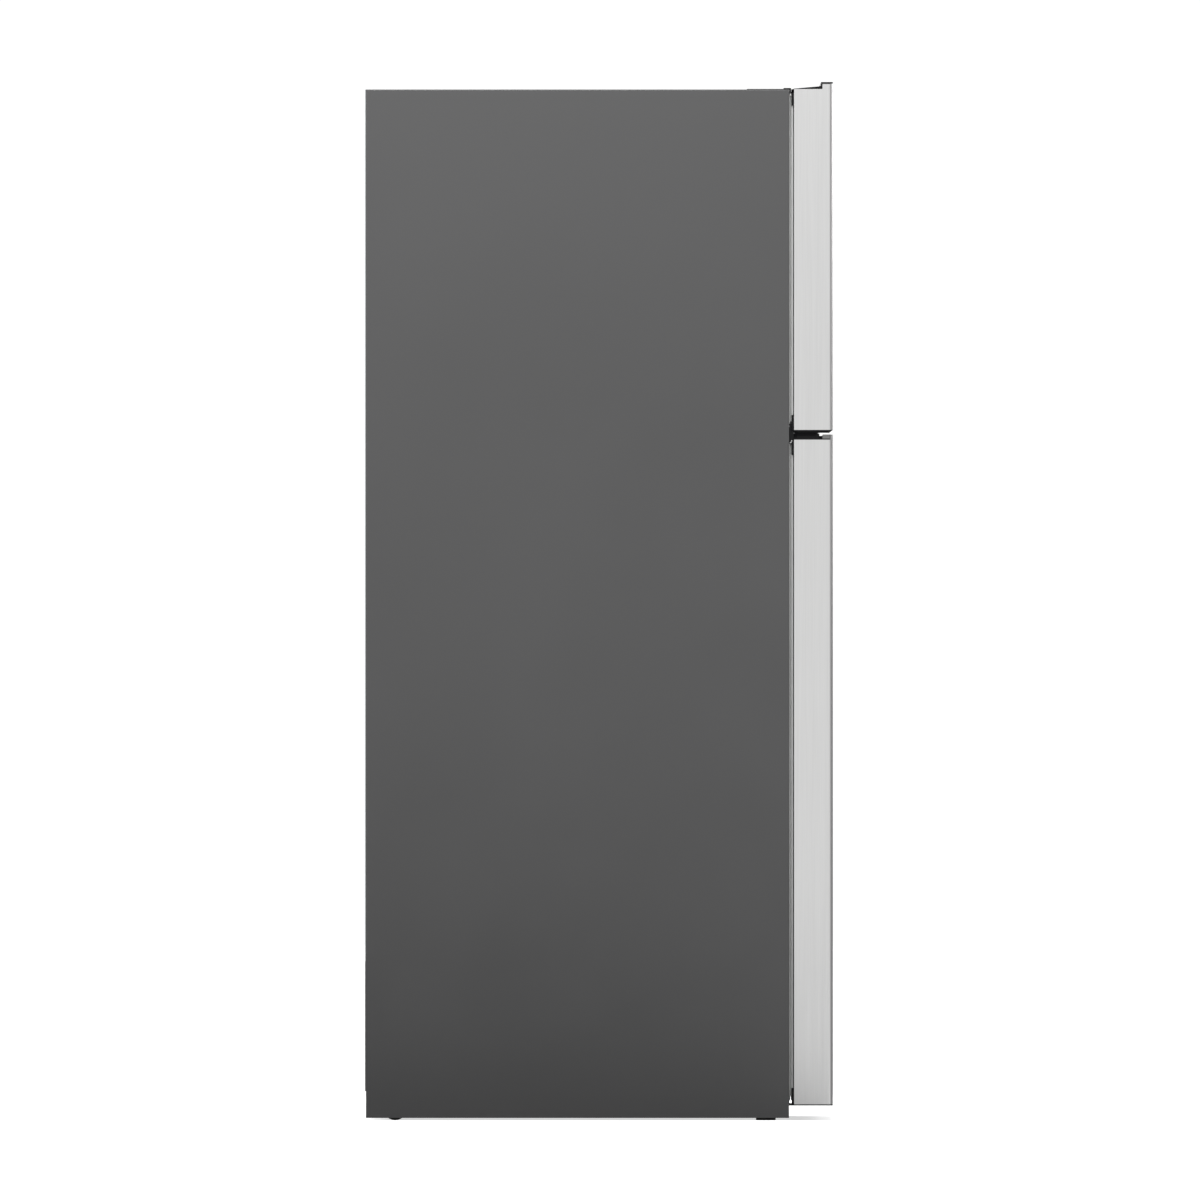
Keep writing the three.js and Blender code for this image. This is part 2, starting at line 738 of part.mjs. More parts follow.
function hingeArm(z0, z1, back) {
  return box(HINGE_LEFT, HINGE_RIGHT, HINGE_FRONT, back, z0, z1);
}

function hingePin(z0, z1) {
  return rod("z", PIN_R, HINGE_X, HINGE_Y, z0, z1);
}

function topHinge() {
  const base = CAB_TOP + GAP;
  return join(hingeArm(base, base + HINGE_PLATE, CAB_FRONT + 52), hingePin(base - 11, base + 1));
}

function topHingeCover() {
  const [x0, x1, y0, y1] = [HINGE_LEFT - 14, HALF - 1, CAB_FRONT + 1, CAB_FRONT + 66];
  const base = CAB_TOP + GAP;
  return cut(
    box(x0, x1, y0, y1, base, base + 7.4),
    box(x0 + 1.4, x1 - 1.4, y0 + 1.4, y1 - 1.4, base - 1, base + 6),
    box(HINGE_LEFT - 1, HINGE_RIGHT + 1, y0 - 1, y0 + 2, base - 1, base + HINGE_PLATE + 0.6),
  );
}

function centreHinge() {
  const face = CAB_FRONT - GAP;
  return join(
    hingeArm(SPLIT - 4, SPLIT, face),
    box(HINGE_LEFT, HINGE_RIGHT, face - HINGE_PLATE, face, SPLIT - 13, SPLIT + 12),
    hingePin(SPLIT - 18, SPLIT + 14),
  );
}

function bottomHinge() {
  const face = CAB_FRONT - GAP;
  return join(
    hingeArm(LOW_HINGE, LOW_HINGE + 4, face),
    box(HINGE_LEFT, HINGE_RIGHT, face - HINGE_PLATE, face, LOW_HINGE, LOW_HINGE + 17),
    hingePin(LOW_HINGE + 1, LOW_HINGE + 19),
  );
}

function cornerCap() {
  const face = CAB_FRONT - GAP;
  const base = CAB_TOP + GAP;
  return join(
    box(-HINGE_RIGHT, -HINGE_LEFT, face - HINGE_PLATE, CAB_FRONT + 9, base, base + 2.1),
    box(-HINGE_RIGHT, -HINGE_LEFT, face - HINGE_PLATE, face, CAB_TOP - 4, base + 1),
  );
}

// ---- Doors ----

// Plan of a door: straight back, rounded front corners, everything drawn in by the inset.
function plan(inset, back) {
  const half = HALF - inset;
  const radius = CORNER_R - inset;
  const shape = new THREE.Shape();
  shape.moveTo(half, back);
  shape.lineTo(-half, back);
  shape.absarc(-half + radius, FRONT + CORNER_R, radius, Math.PI, 1.5 * Math.PI);
  shape.absarc(half - radius, FRONT + CORNER_R, radius, -Math.PI / 2, 0);
  return shape;
}

function core(z0, z1) {
  return extrude(plan(INSIDE, DOOR_BACK - INSIDE), "z", z0, z1);
}

function cover(z0, z1) {
  return extrude(plan(0, DOOR_BACK), "z", z0, z1);
}

// Black tabs of an end cap that show at the door's back corners.
function tabs([z0, z1], grow) {
  return [-1, 1].map((side) => {
    const rise = side < 0 ? TAB_RISE_LEFT : TAB_RISE_RIGHT;
    const near = side * (HALF - 10.5 - grow);
    const far = side * (HALF - 3 + grow);
    return box(
      Math.min(near, far),
      Math.max(near, far),
      DOOR_BACK - 15 - grow,
      DOOR_BACK + rise,
      z0 - grow,
      z1 + grow,
    );
  });
}

// Room above a door's top for the hinge arm, at every angle the door turns to.
function armRoom(floor) {
  return box(HINGE_LEFT - 18, HALF + 1, HINGE_FRONT - 2.5, DOOR_BACK + 9, floor, floor + 40);
}

function gripWell([z0, z1], grow) {
  return wide(GRIP_HALF + 5 + grow, FRONT + INSIDE - grow, FRONT + GRIP_DEPTH + grow, z0 - grow, z1 + grow);
}

function skin(leaf) {
  const shell = cut(
    cover(leaf.bottom, leaf.lip),
    extrude(plan(SHEET, DOOR_BACK - SHEET), "z", leaf.bottom - 1, leaf.lip + 1),
    wide(HALF - RETURN, DOOR_BACK - 2, DOOR_BACK + 1, leaf.bottom - 1, leaf.lip + 1),
    wide(HALF + 1, FRONT + LIP_DEPTH, DOOR_BACK + 1, leaf.top, leaf.lip + 1),
    tabs(leaf.lowTab, GAP),
    tabs(leaf.highTab, GAP),
    wide(GRIP_HALF, FRONT - 1, FRONT + 2, leaf.notch[0], leaf.notch[1]),
  );
  return leaf === FREEZER_LEAF ? cut(shell, armRoom(CAB_TOP - 0.6)) : shell;
}

function doorFoam(leaf, [z0, z1]) {
  return cut(core(z0, z1), tabs(leaf.lowTab, GAP), tabs(leaf.highTab, GAP), gripWell(leaf.grip, GAP));
}

function gripCup([z0, z1], opensDown) {
  const [low, high] = opensDown ? [z0 - 6, z1 - MOULD] : [z0 + MOULD, z1 + 9];
  return cut(
    gripWell([z0, z1], 0),
    wide(GRIP_HALF, FRONT - 1, FRONT + GRIP_DEPTH - MOULD, low, high),
  );
}

function freezerTopCap() {
  const leaf = FREEZER_LEAF;
  const seat = leaf.top + GAP;
  const ridge = FRONT + LIP_DEPTH + GAP;
  const crest = HEIGHT - CROWN + 5.5;
  const wedge = profile(
    [
      [ridge, seat],
      [DOOR_BACK, seat],
      [DOOR_BACK, seat + 0.4],
      [ridge, crest],
    ],
    -HALF,
    HALF,
  );
  const lip = cut(
    join(cover(leaf.lip + GAP, HEIGHT), core(leaf.top - PLUG, leaf.lip + 1)),
    wide(HALF + 1, ridge + 2.1, DOOR_BACK + 1, seat, HEIGHT + 1),
  );
  return cut(
    join(lip, wide(HALF, ridge, ridge + 2.1, seat, HEIGHT), wedge, tabs(leaf.highTab, 0)),
    armRoom(CAB_TOP - 0.6),
    rod("z", PIN_BORE, HINGE_X, HINGE_Y, CAB_TOP - 12, CAB_TOP + 2),
  );
}

function freezerBottomCap() {
  const leaf = FREEZER_LEAF;
  const base = leaf.bottom - 2.2;
  const rim = cut(
    cover(base, leaf.bottom - GAP),
    wide(HALF + 1, FRONT - 1, FRONT + 3, base - 1, leaf.bottom),
  );
  return cut(
    join(
      rim,
      cut(core(leaf.bottom - 1, leaf.bottom + PLUG), gripWell(leaf.grip, 0)),
      gripCup(leaf.grip, true),
      box(-HALF + 5, HINGE_LEFT - 18, FRONT + 22, DOOR_BACK - 3, base - 2.3, base + 1),
      tabs(leaf.lowTab, 0),
    ),
    wide(GRIP_HALF, FRONT - 1, FRONT + GRIP_DEPTH - MOULD, base - 3, leaf.bottom + PLUG),
    rod("z", PIN_BORE, HINGE_X, HINGE_Y, base - 1, leaf.bottom + 11),
  );
}

function fridgeTopCap() {
  const leaf = FRIDGE_LEAF;
  const seat = leaf.top + GAP;
  const deck = leaf.top + 2.2;
  const ridge = FRONT + LIP_DEPTH + GAP;
  const brim = cut(cover(seat, deck), wide(HALF + 1, FRONT - 1, ridge, seat - 1, deck + 1));
  const strip = cut(
    core(leaf.top - PLUG, leaf.lip - 1.5),
    wide(HALF, ridge, DOOR_BACK, deck, leaf.lip),
    gripWell(leaf.grip, 0),
  );
  return cut(
    join(
      brim,
      strip,
      gripCup(leaf.grip, false),
      box(-HALF + 5, HINGE_LEFT - 18, FRONT + 22, DOOR_BACK - 3, deck - 1, SPLIT - 0.8),
      tabs(leaf.highTab, 0),
    ),
    wide(GRIP_HALF, FRONT - 1, FRONT + GRIP_DEPTH - MOULD, leaf.grip[0] + MOULD, SPLIT),
    rod("z", PIN_BORE, HINGE_X, HINGE_Y, SPLIT - 20, SPLIT + 1),
  );
}

function fridgeBottomCap() {
  const leaf = FRIDGE_LEAF;
  const base = leaf.bottom - 1.9;
  return cut(
    join(
      cover(base, leaf.bottom - GAP),
      core(leaf.bottom - 1, leaf.bottom + PLUG),
      tabs(leaf.lowTab, 0),
    ),
    rod("z", PIN_BORE, HINGE_X, HINGE_Y, base - 1, leaf.bottom + 11.5),
  );
}

function binSeats(leaf, bins) {
  const inner = leaf.dikeEdge - DIKE_WIDTH;
  return bins.flatMap(({ floor }) => [
    box(-inner - 1, -inner + 10, DOOR_BACK, DOOR_BACK + DIKE_RISE - 2, floor - 7, floor - GAP),
    box(inner - 10, inner + 1, DOOR_BACK, DOOR_BACK + DIKE_RISE - 2, floor - 7, floor - GAP),
  ]);
}

function doorLiner(leaf, [z0, z1], bins) {
  const [seal0, seal1] = leaf.gasket;
  const edge = leaf.dikeEdge;
  const field = GASKET_EDGE - GASKET_WIDTH - 5;
  const rise = DOOR_BACK + DIKE_RISE;
  const dikes = [-edge, edge - DIKE_WIDTH].map((x) =>
    box(x, x + DIKE_WIDTH, DOOR_BACK - 0.5, rise, leaf.dike[0], leaf.dike[1]),
  );
  return join(
    wide(HALF - RETURN - GAP, DOOR_BACK - SHEET, DOOR_BACK, z0, z1),
    wide(field, DOOR_BACK - 0.5, DOOR_BACK + PAN_RISE, seal0 + GASKET_WIDTH + 5, seal1 - GASKET_WIDTH - 5),
    dikes,
    binSeats(leaf, bins),
  );
}

function lidTop() {
  const bin = FRIDGE_LEAF.bins[2];
  return bin.floor + bin.height;
}

function fridgeDoorLiner() {
  const leaf = FRIDGE_LEAF;
  const inner = leaf.dikeEdge - DIKE_WIDTH;
  const bores = [-1, 1].map((side) => {
    const [near, far] = [side * (inner - 1), side * (inner + 4.5)];
    return rod("x", 3, LID_PIVOT_Y, lidTop() + 5, Math.min(near, far), Math.max(near, far), 12);
  });
  return cut(doorLiner(leaf, [leaf.bottom + 3, leaf.top - 3], leaf.bins), bores);
}

function gasket(leaf) {
  const [z0, z1] = leaf.gasket;
  const ring = (inset, from, to) =>
    cut(
      extrude(rounded(z0 + inset, z1 - inset, -GASKET_EDGE + inset, GASKET_EDGE - inset, 5), "y", from, to),
      wide(
        GASKET_EDGE - GASKET_WIDTH + inset,
        from - 1,
        to + 1,
        z0 + GASKET_WIDTH - inset,
        z1 - GASKET_WIDTH + inset,
      ),
    );
  const near = DOOR_BACK + GAP;
  const far = CAB_FRONT - GAP;
  return join(ring(0, near, near + 2.4), ring(2, near + 2.2, far - 2.8), ring(0.5, far - 3, far));
}

function doorBin(leaf, bin) {
  const half = leaf.dikeEdge - DIKE_WIDTH - 2;
  const near = DOOR_BACK + PAN_RISE + GAP;
  return tub(-half, half, near, near + BIN_DEPTH, bin.floor, bin.floor + bin.height, 9);
}

function dairyLid() {
  const top = lidTop();
  const inner = FRIDGE_LEAF.dikeEdge - DIKE_WIDTH;
  const edge = DOOR_BACK + PAN_RISE + GAP + BIN_DEPTH;
  const half = inner - 2 - MOULD - 1;
  const sheet = profile(
    [
      [LID_PIVOT_Y, top + 2],
      [edge + 0.4, top + 2],
      [edge + 0.4, top - 12],
      [edge + 2.4, top - 12],
      [edge + 2.4, top + 4.5],
      [LID_PIVOT_Y, top + 4.5],
    ],
    -half,
    half,
  );
  return join(
    sheet,
    rod("x", LID_BARREL - 0.6, LID_PIVOT_Y, top + 5, -half, half, 12),
    rod("x", 2.6, LID_PIVOT_Y, top + 5, -inner - 3, inner + 3, 12),
  );
}

// ---- Assembly ----

function group(name, ...meshes) {
  const set = new THREE.Group();
  set.name = name;
  set.add(...meshes);
  return set;
}

const cabinet = group(
  "cabinet",
  piece("cabinet_wrapper", cabinetWrapper(), GREY_PAINT),
  piece("back_panel", backPanel(), GALVANISED),
  piece("insulation_foam", insulation(), FOAM),
  piece("freezer_liner", freezerLiner(), WHITE_LINER),
  piece("fridge_liner", fridgeLiner(), WHITE_LINER),
  piece("mullion_plate", mullionPlate(), GREY_PAINT),
  piece("freezer_switch", plunger(FREEZER_SWITCH), WHITE_LINER),
  piece("fridge_switch", plunger(FRIDGE_SWITCH), WHITE_LINER),
  piece("top_hinge", topHinge(), DARK_STEEL),
  piece("top_hinge_cover", topHingeCover(), BLACK_PLASTIC),
  piece("centre_hinge", centreHinge(), DARK_STEEL),
  piece("bottom_hinge", bottomHinge(), DARK_STEEL),
  piece("corner_cap", cornerCap(), BLACK_PLASTIC),
);

const machine = group(
  "machine",
  piece("base_pan", basePan(), GALVANISED),
  piece("leg_left", levellingLeg(-1), BLACK_PLASTIC),
  piece("leg_right", levellingLeg(1), BLACK_PLASTIC),
  piece("roller_left", roller(-1), BLACK_PLASTIC),
  piece("roller_right", roller(1), BLACK_PLASTIC),
  piece("compressor", compressor(), DARK_STEEL),
  piece("relay_cover", relayCover(), BLACK_PLASTIC),
  piece("condenser_coil", condenserCoil(), COPPER),
  piece("fan_bracket", fanBracket(), GALVANISED),
  piece("condenser_fan", condenserFan(), BLACK_PLASTIC),
  piece("drain_pan", drainPan(), BLACK_PLASTIC),
  piece("machine_cover", machineCover(), GALVANISED),
);

const freezerRoom = group(
  "freezer_room",
  piece("evaporator_cover", evaporatorCover(), WHITE_LINER),
  piece("evaporator_fan", evaporatorFan(), BLACK_PLASTIC),
  piece("evaporator_coil", evaporatorCoil(), ALUMINIUM),
  piece("freezer_shelf", shelf(FREEZER, FREEZER_SHELF, FREEZER.back - 60, 0), CLEAR),
  piece("ice_frame", iceFrame(), WHITE_LINER),
  piece("ice_trays", iceTrays(), CLEAR),
  piece("ice_bin", iceBin(), CLEAR),
);

const fridgeRoom = group(
  "fridge_room",
  piece("air_duct", airDuct(), WHITE_LINER),
  ...SHELF_SHARES.map((share, index) =>
    piece(`fridge_shelf_${index + 1}`, shelf(FRIDGE, shelfLevel(share), SHELF_BACK, SPILL_LIP), CLEAR),
  ),
  piece("crisper_cover", shelf(FRIDGE, CRISPER_COVER, SHELF_BACK, SPILL_LIP), CLEAR),
  piece("crisper_left", crisper(-1), CLEAR),
  piece("crisper_right", crisper(1), CLEAR),
  piece("control_housing", controlHousing(), WHITE_LINER),
  piece("temperature_dial", temperatureDial(), BLACK_PLASTIC),
  piece("light_lens", lightLens(), CLEAR),
);

const FREEZER_CORE = [FREEZER_LEAF.bottom + PLUG + GAP, FREEZER_LEAF.top - PLUG - GAP];
const FRIDGE_CORE = [FRIDGE_LEAF.bottom + PLUG + GAP, FRIDGE_LEAF.top - PLUG - GAP];
const FREEZER_BACKING = [FREEZER_LEAF.bottom + 3, FREEZER_LEAF.top - 3];

const freezerDoor = group(
  "freezer_door",
  piece("freezer_door_skin", skin(FREEZER_LEAF), STAINLESS),
  piece("freezer_door_top_cap", freezerTopCap(), BLACK_PLASTIC),
  piece("freezer_door_bottom_cap", freezerBottomCap(), BLACK_PLASTIC),
  piece("freezer_door_foam", doorFoam(FREEZER_LEAF, FREEZER_CORE), FOAM),
  piece("freezer_door_liner", doorLiner(FREEZER_LEAF, FREEZER_BACKING, FREEZER_LEAF.bins), WHITE_LINER),
  piece("freezer_gasket", gasket(FREEZER_LEAF), SEAL_GREY),
  piece("freezer_bin_lower", doorBin(FREEZER_LEAF, FREEZER_LEAF.bins[0]), CLEAR),
  piece("freezer_bin_upper", doorBin(FREEZER_LEAF, FREEZER_LEAF.bins[1]), CLEAR),
);

const fridgeDoor = group(
  "fridge_door",
  piece("fridge_door_skin", skin(FRIDGE_LEAF), STAINLESS),
  piece("fridge_door_top_cap", fridgeTopCap(), BLACK_PLASTIC),
  piece("fridge_door_bottom_cap", fridgeBottomCap(), BLACK_PLASTIC),
  piece("fridge_door_foam", doorFoam(FRIDGE_LEAF, FRIDGE_CORE), FOAM),
  piece("fridge_door_liner", fridgeDoorLiner(), WHITE_LINER),
  piece("fridge_gasket", gasket(FRIDGE_LEAF), SEAL_GREY),
  piece("fridge_bin_lower", doorBin(FRIDGE_LEAF, FRIDGE_LEAF.bins[0]), CLEAR),
  piece("fridge_bin_middle", doorBin(FRIDGE_LEAF, FRIDGE_LEAF.bins[1]), CLEAR),
  piece("dairy_bin", doorBin(FRIDGE_LEAF, FRIDGE_LEAF.bins[2]), CLEAR),
  piece("dairy_lid", dairyLid(), CLEAR),
);

export default group("refrigerator", cabinet, machine, freezerRoom, fridgeRoom, freezerDoor, fridgeDoor);
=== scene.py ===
"""A two-door refrigerator with its freezer on top, dressed for a plain studio picture.

Everything is in metres in the refrigerator's own frame: +Z up, doors towards -Y, hinges on the right at +X.
"""

from __future__ import annotations

import logging
import math
from collections.abc import Callable, Iterable, Sequence
from dataclasses import dataclass
from enum import Enum
from functools import cache

import bmesh
import bpy
from mathutils import Matrix, Vector

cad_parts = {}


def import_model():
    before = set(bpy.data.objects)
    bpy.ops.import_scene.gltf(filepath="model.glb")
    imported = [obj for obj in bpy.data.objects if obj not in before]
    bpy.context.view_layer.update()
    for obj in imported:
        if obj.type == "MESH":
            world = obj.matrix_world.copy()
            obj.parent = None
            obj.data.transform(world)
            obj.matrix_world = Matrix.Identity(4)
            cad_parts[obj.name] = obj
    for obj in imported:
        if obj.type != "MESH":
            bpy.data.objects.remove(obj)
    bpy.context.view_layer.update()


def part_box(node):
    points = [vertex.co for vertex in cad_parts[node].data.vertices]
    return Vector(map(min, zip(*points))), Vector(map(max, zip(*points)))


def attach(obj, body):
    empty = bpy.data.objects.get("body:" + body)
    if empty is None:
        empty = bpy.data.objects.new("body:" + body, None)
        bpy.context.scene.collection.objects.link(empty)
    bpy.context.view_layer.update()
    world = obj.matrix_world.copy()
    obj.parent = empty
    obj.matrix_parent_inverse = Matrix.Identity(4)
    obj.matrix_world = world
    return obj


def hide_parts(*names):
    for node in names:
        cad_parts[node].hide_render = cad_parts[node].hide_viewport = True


log = logging.getLogger("refrigerator")

Colour = tuple[float, float, float]
Point = tuple[float, float, float]
Flat = tuple[float, float]
Socket = bpy.types.NodeSocket


class Axis(Enum):
    """A direction of the frame, with the two that follow it in cyclic order."""

    X = (0, 1, 2)
    Y = (1, 2, 0)
    Z = (2, 0, 1)

    def point(self, first: float, second: float, along: float) -> Vector:
        """Place a point.

        Args:
            first: Distance along the next axis in cyclic order.
            second: Distance along the one after it.
            along: Distance along this axis.

        Returns:
            The point in the frame.
        """
        spot = Vector((0.0, 0.0, 0.0))
        spot[self.value[1]], spot[self.value[2]], spot[self.value[0]] = first, second, along
        return spot


# ---------------------------------------------------------------- finishes


class Bench:
    """Lays out the shader nodes of one material."""

    def __init__(self, name: str) -> None:
        """Start a material.

        Args:
            name: Name of the material.
        """
        self.material = bpy.data.materials.new(name)
        self.material.use_nodes = True
        self.tree = self.material.node_tree
        self.shader = self.tree.nodes["Principled BSDF"]
        self.place = self.tree.nodes.new("ShaderNodeTexCoord").outputs["Object"]

    def set(self, **values: float | Colour) -> None:
        """Give the shader plain values.

        Args:
            **values: Socket names with underscores for blanks, and their values.
        """
        for name, value in values.items():
            socket = self.shader.inputs[name.replace("_", " ")]
            socket.default_value = (*value, 1.0) if isinstance(value, tuple) else value

    def stretched(self, scale: Point) -> Socket:
        """Stretch the object's own coordinates.

        Args:
            scale: Factor along each axis.

        Returns:
            The stretched coordinates.
        """
        node = self.tree.nodes.new("ShaderNodeMapping")
        node.inputs["Scale"].default_value = scale
        self.tree.links.new(self.place, node.inputs["Vector"])
        return node.outputs["Vector"]

    def noise(self, scale: float, detail: float, stretch: Point = (1.0, 1.0, 1.0)) -> Socket:
        """Add cloudy noise.

        Args:
            scale: How fine it is, per metre.
            detail: How many finer layers it has.
            stretch: Extra scale along each axis.

        Returns:
            The noise, from 0 to 1.
        """
        node = self.tree.nodes.new("ShaderNodeTexNoise")
        node.inputs["Scale"].default_value = scale
        node.inputs["Detail"].default_value = detail
        self.tree.links.new(self.stretched(stretch), node.inputs["Vector"])
        return node.outputs["Fac"]

    def cells(self, scale: float, output: str = "Distance") -> Socket:
        """Add a pattern of cells.

        Args:
            scale: Cells per metre.
            output: Which reading of the cells is wanted.

        Returns:
            That reading.
        """
        node = self.tree.nodes.new("ShaderNodeTexVoronoi")
        node.inputs["Scale"].default_value = scale
        self.tree.links.new(self.place, node.inputs["Vector"])
        return node.outputs[output]

    def spread(self, value: Socket, low: float, high: float, start: float = 0.3, end: float = 0.7) -> Socket:
        """Spread a reading over a range.

        Args:
            value: The reading.
            low: Result at its start.
            high: Result at its end.
            start: Reading that gives low.
            end: Reading that gives high.

        Returns:
            The spread reading.
        """
        node = self.tree.nodes.new("ShaderNodeMapRange")
        for name, number in (("From Min", start), ("From Max", end), ("To Min", low), ("To Max", high)):
            node.inputs[name].default_value = number
        self.tree.links.new(value, node.inputs["Value"])
        return node.outputs["Result"]

    def blend(self, share: Socket, first: Colour | Socket, second: Colour) -> Socket:
        """Blend a colour over a colour or a pattern.

        Args:
            share: How much of the second, from 0 to 1.
            first: Colour or pattern at 0.
            second: Colour at 1.

        Returns:
            The blended colour.
        """
        node = self.tree.nodes.new("ShaderNodeMix")
        node.data_type = "RGBA"
        if isinstance(first, tuple):
            node.inputs[6].default_value = (*first, 1.0)
        else:
            self.tree.links.new(first, node.inputs[6])
        node.inputs[7].default_value = (*second, 1.0)
        self.tree.links.new(share, node.inputs[0])
        return node.outputs[2]

    def combine(self, operation: str, *readings: Socket) -> Socket:
        """Combine readings into one.

        Args:
            operation: What is done with them, in the node's own word.
            *readings: The readings.

        Returns:
            The result.
        """
        node = self.tree.nodes.new("ShaderNodeMath")
        node.operation = operation
        for socket, reading in zip(node.inputs, readings):
            self.tree.links.new(reading, socket)
        return node.outputs[0]

    def beyond(self, flank: float, height: float) -> Socket:
        """Pick out the end faces above a height, where the door steel gets its painted shade.

        Args:
            flank: How far from the middle the end faces lie.
            height: Where the picked part starts.

        Returns:
            1 on the picked part, 0 elsewhere.
        """
        split = self.tree.nodes.new("ShaderNodeSeparateXYZ")
        self.tree.links.new(self.place, split.inputs[0])
        reach = self.combine("ABSOLUTE", split.outputs["X"])
        outer = self.spread(reach, 0.0, 1.0, flank - 0.0005, flank + 0.0003)
        upper = self.spread(split.outputs["Z"], 0.0, 1.0, height - 0.0004, height + 0.0004)
        return self.combine("MULTIPLY", outer, upper)

    def feed(self, name: str, source: Socket) -> None:
        """Wire a pattern to the shader.

        Args:
            name: The shader's socket.
            source: The pattern.
        """
        self.tree.links.new(source, self.shader.inputs[name])

    def relief(self, *layers: tuple[Socket, float]) -> None:
        """Raise the surface by one or more patterns.

        Args:
            *layers: Each pattern with its height in metres.
        """
        normal = None
        for pattern, height in layers:
            node = self.tree.nodes.new("ShaderNodeBump")
            node.inputs["Strength"].default_value = 1.0
            node.inputs["Distance"].default_value = height
            self.tree.links.new(pattern, node.inputs["Height"])
            if normal is not None:
                self.tree.links.new(normal, node.inputs["Normal"])
            normal = node.outputs["Normal"]
        if normal is not None:
            self.tree.links.new(normal, self.shader.inputs["Normal"])


def shade(colour: Colour, factor: float) -> Colour:
    """Make a colour lighter or darker.

    Args:
        colour: The colour.
        factor: What to multiply it by.

    Returns:
        The new colour.
    """
    return (colour[0] * factor, colour[1] * factor, colour[2] * factor)


@dataclass(frozen=True)
class Finish:
    """What every finish has: a name, the record's slot it belongs to, a colour and a roughness."""

    name: str
    slot: str
    colour: Colour
    roughness: float

    def material(self) -> bpy.types.Material:
        """Give the finish's material, made once."""
        return made(self)

    def dress(self, bench: Bench) -> None:
        """Lay out the finish.

        Args:
            bench: Where the nodes go.
        """
        raise NotImplementedError(self.name)

    def tone(self, bench: Bench, pattern: Socket, first: float, second: float) -> None:
        """Let the colour drift between a lighter and a darker shade.

        Args:
            bench: Where the nodes go.
            pattern: What it follows.
            first: Factor on the colour where the pattern is 0.
            second: Factor where it is 1.
        """
        bench.feed("Base Color", bench.blend(pattern, shade(self.colour, first), shade(self.colour, second)))

    def gloss(self, bench: Bench, pattern: Socket, brighter: float, duller: float) -> None:
        """Let the roughness drift about its own value.

        Args:
            bench: Where the nodes go.
            pattern: What it follows.
            brighter: How far it falls.
            duller: How far it rises.
        """
        bench.feed("Roughness", bench.spread(pattern, self.roughness - brighter, self.roughness + duller))


@cache
def made(finish: Finish) -> bpy.types.Material:
    """Make a finish's material.

    Args:
        finish: The finish.

    Returns:
        Its material.
    """
    bench = Bench(finish.name)
    bench.set(Roughness=finish.roughness)
    finish.dress(bench)
    return bench.material


@dataclass(frozen=True)
class PaintedSheet(Finish):
    """Baked paint on steel: a faint orange peel, cloudy gloss and a slow drift of colour."""

    peel: float = 0.00003
    drift: float = 0.05

    def dress(self, bench: Bench) -> None:
        """Lay out the paint.

        Args:
            bench: Where the nodes go.
        """
        self.tone(bench, bench.noise(2.2, 4.0), 1 - self.drift, 1 + self.drift)
        self.gloss(bench, bench.noise(5.0, 6.0), 0.05, 0.05)
        bench.relief((bench.noise(420.0, 2.0), self.peel), (bench.noise(1700.0, 1.0), self.peel * 0.25))


@dataclass(frozen=True)
class BrushedSheet(Finish):
    """Stainless sheet with fine upright brushing under a thin clear coat that hides fingerprints.

    Its end faces carry painted shade above a set height, with a near-black painted shadow line just below
    it.
    """

    # height above which the end faces are painted as steel in shade
    shade_from: float
    # depth of the near-black painted shadow line just below that height
    shadow_line: float = 0.0018
    flank: float = 0.3545
    grain: Point = (700.0, 700.0, 7.0)
    depth: float = 0.000008

    def dress(self, bench: Bench) -> None:
        """Lay out the brushing.

        Args:
            bench: Where the nodes go.
        """
        lines = bench.noise(1.0, 5.0, self.grain)
        broad = bench.noise(0.16, 3.0, self.grain)
        haze = bench.noise(3.0, 5.0)
        bench.set(Metallic=1.0, Coat_Weight=0.25, Coat_Roughness=0.35)
        fine = bench.spread(lines, 0.0, 1.0, 0.25, 0.75)
        brushed = bench.blend(fine, shade(self.colour, 0.96), shade(self.colour, 1.03))
        # painted shade: a near-black shadow line, then the end faces above it darkened as steel in shade
        below, above = bench.beyond(self.flank, self.shade_from - self.shadow_line), bench.beyond(self.flank, self.shade_from)
        with_shadow_line = bench.blend(below, brushed, shade(self.colour, 0.03))
        bench.feed("Base Color", bench.blend(above, with_shadow_line, shade(self.colour, 0.3)))
        streaks = bench.spread(broad, self.roughness - 0.025, self.roughness + 0.025)
        bench.feed("Roughness", bench.combine("ADD", streaks, bench.spread(haze, -0.02, 0.03)))
        bench.relief((lines, self.depth))


@dataclass(frozen=True)
class Moulding(Finish):
    """Moulded plastic: a fine spark-eroded grain and faint flow marks."""

    grain: float = 1300.0
    depth: float = 0.00002
    flow: float = 0.06
    specular: float = 0.5

    def dress(self, bench: Bench) -> None:
        """Lay out the moulded skin.

        Args:
            bench: Where the nodes go.
        """
        bench.set(Specular_IOR_Level=self.specular)
        self.tone(bench, bench.noise(7.0, 5.0, (1.0, 1.0, 0.4)), 1 - self.flow, 1 + self.flow)
        self.gloss(bench, bench.noise(18.0, 5.0), 0.06, 0.06)
        bench.relief((bench.noise(self.grain, 2.0), self.depth))


@dataclass(frozen=True)
class FormedLiner(Finish):
    """Vacuum-formed liner: soft sheen, slow waviness from the mould and a faint pebble."""

    def dress(self, bench: Bench) -> None:
        """Lay out the formed sheet.

        Args:
            bench: Where the nodes go.
        """
        self.tone(bench, bench.noise(3.5, 3.0), 0.97, 1.0)
        self.gloss(bench, bench.noise(9.0, 4.0), 0.05, 0.07)
        bench.set(Coat_Weight=0.15, Coat_Roughness=0.2)
        bench.relief((bench.noise(14.0, 2.0), 0.0004), (bench.noise(800.0, 1.0), 0.00001))


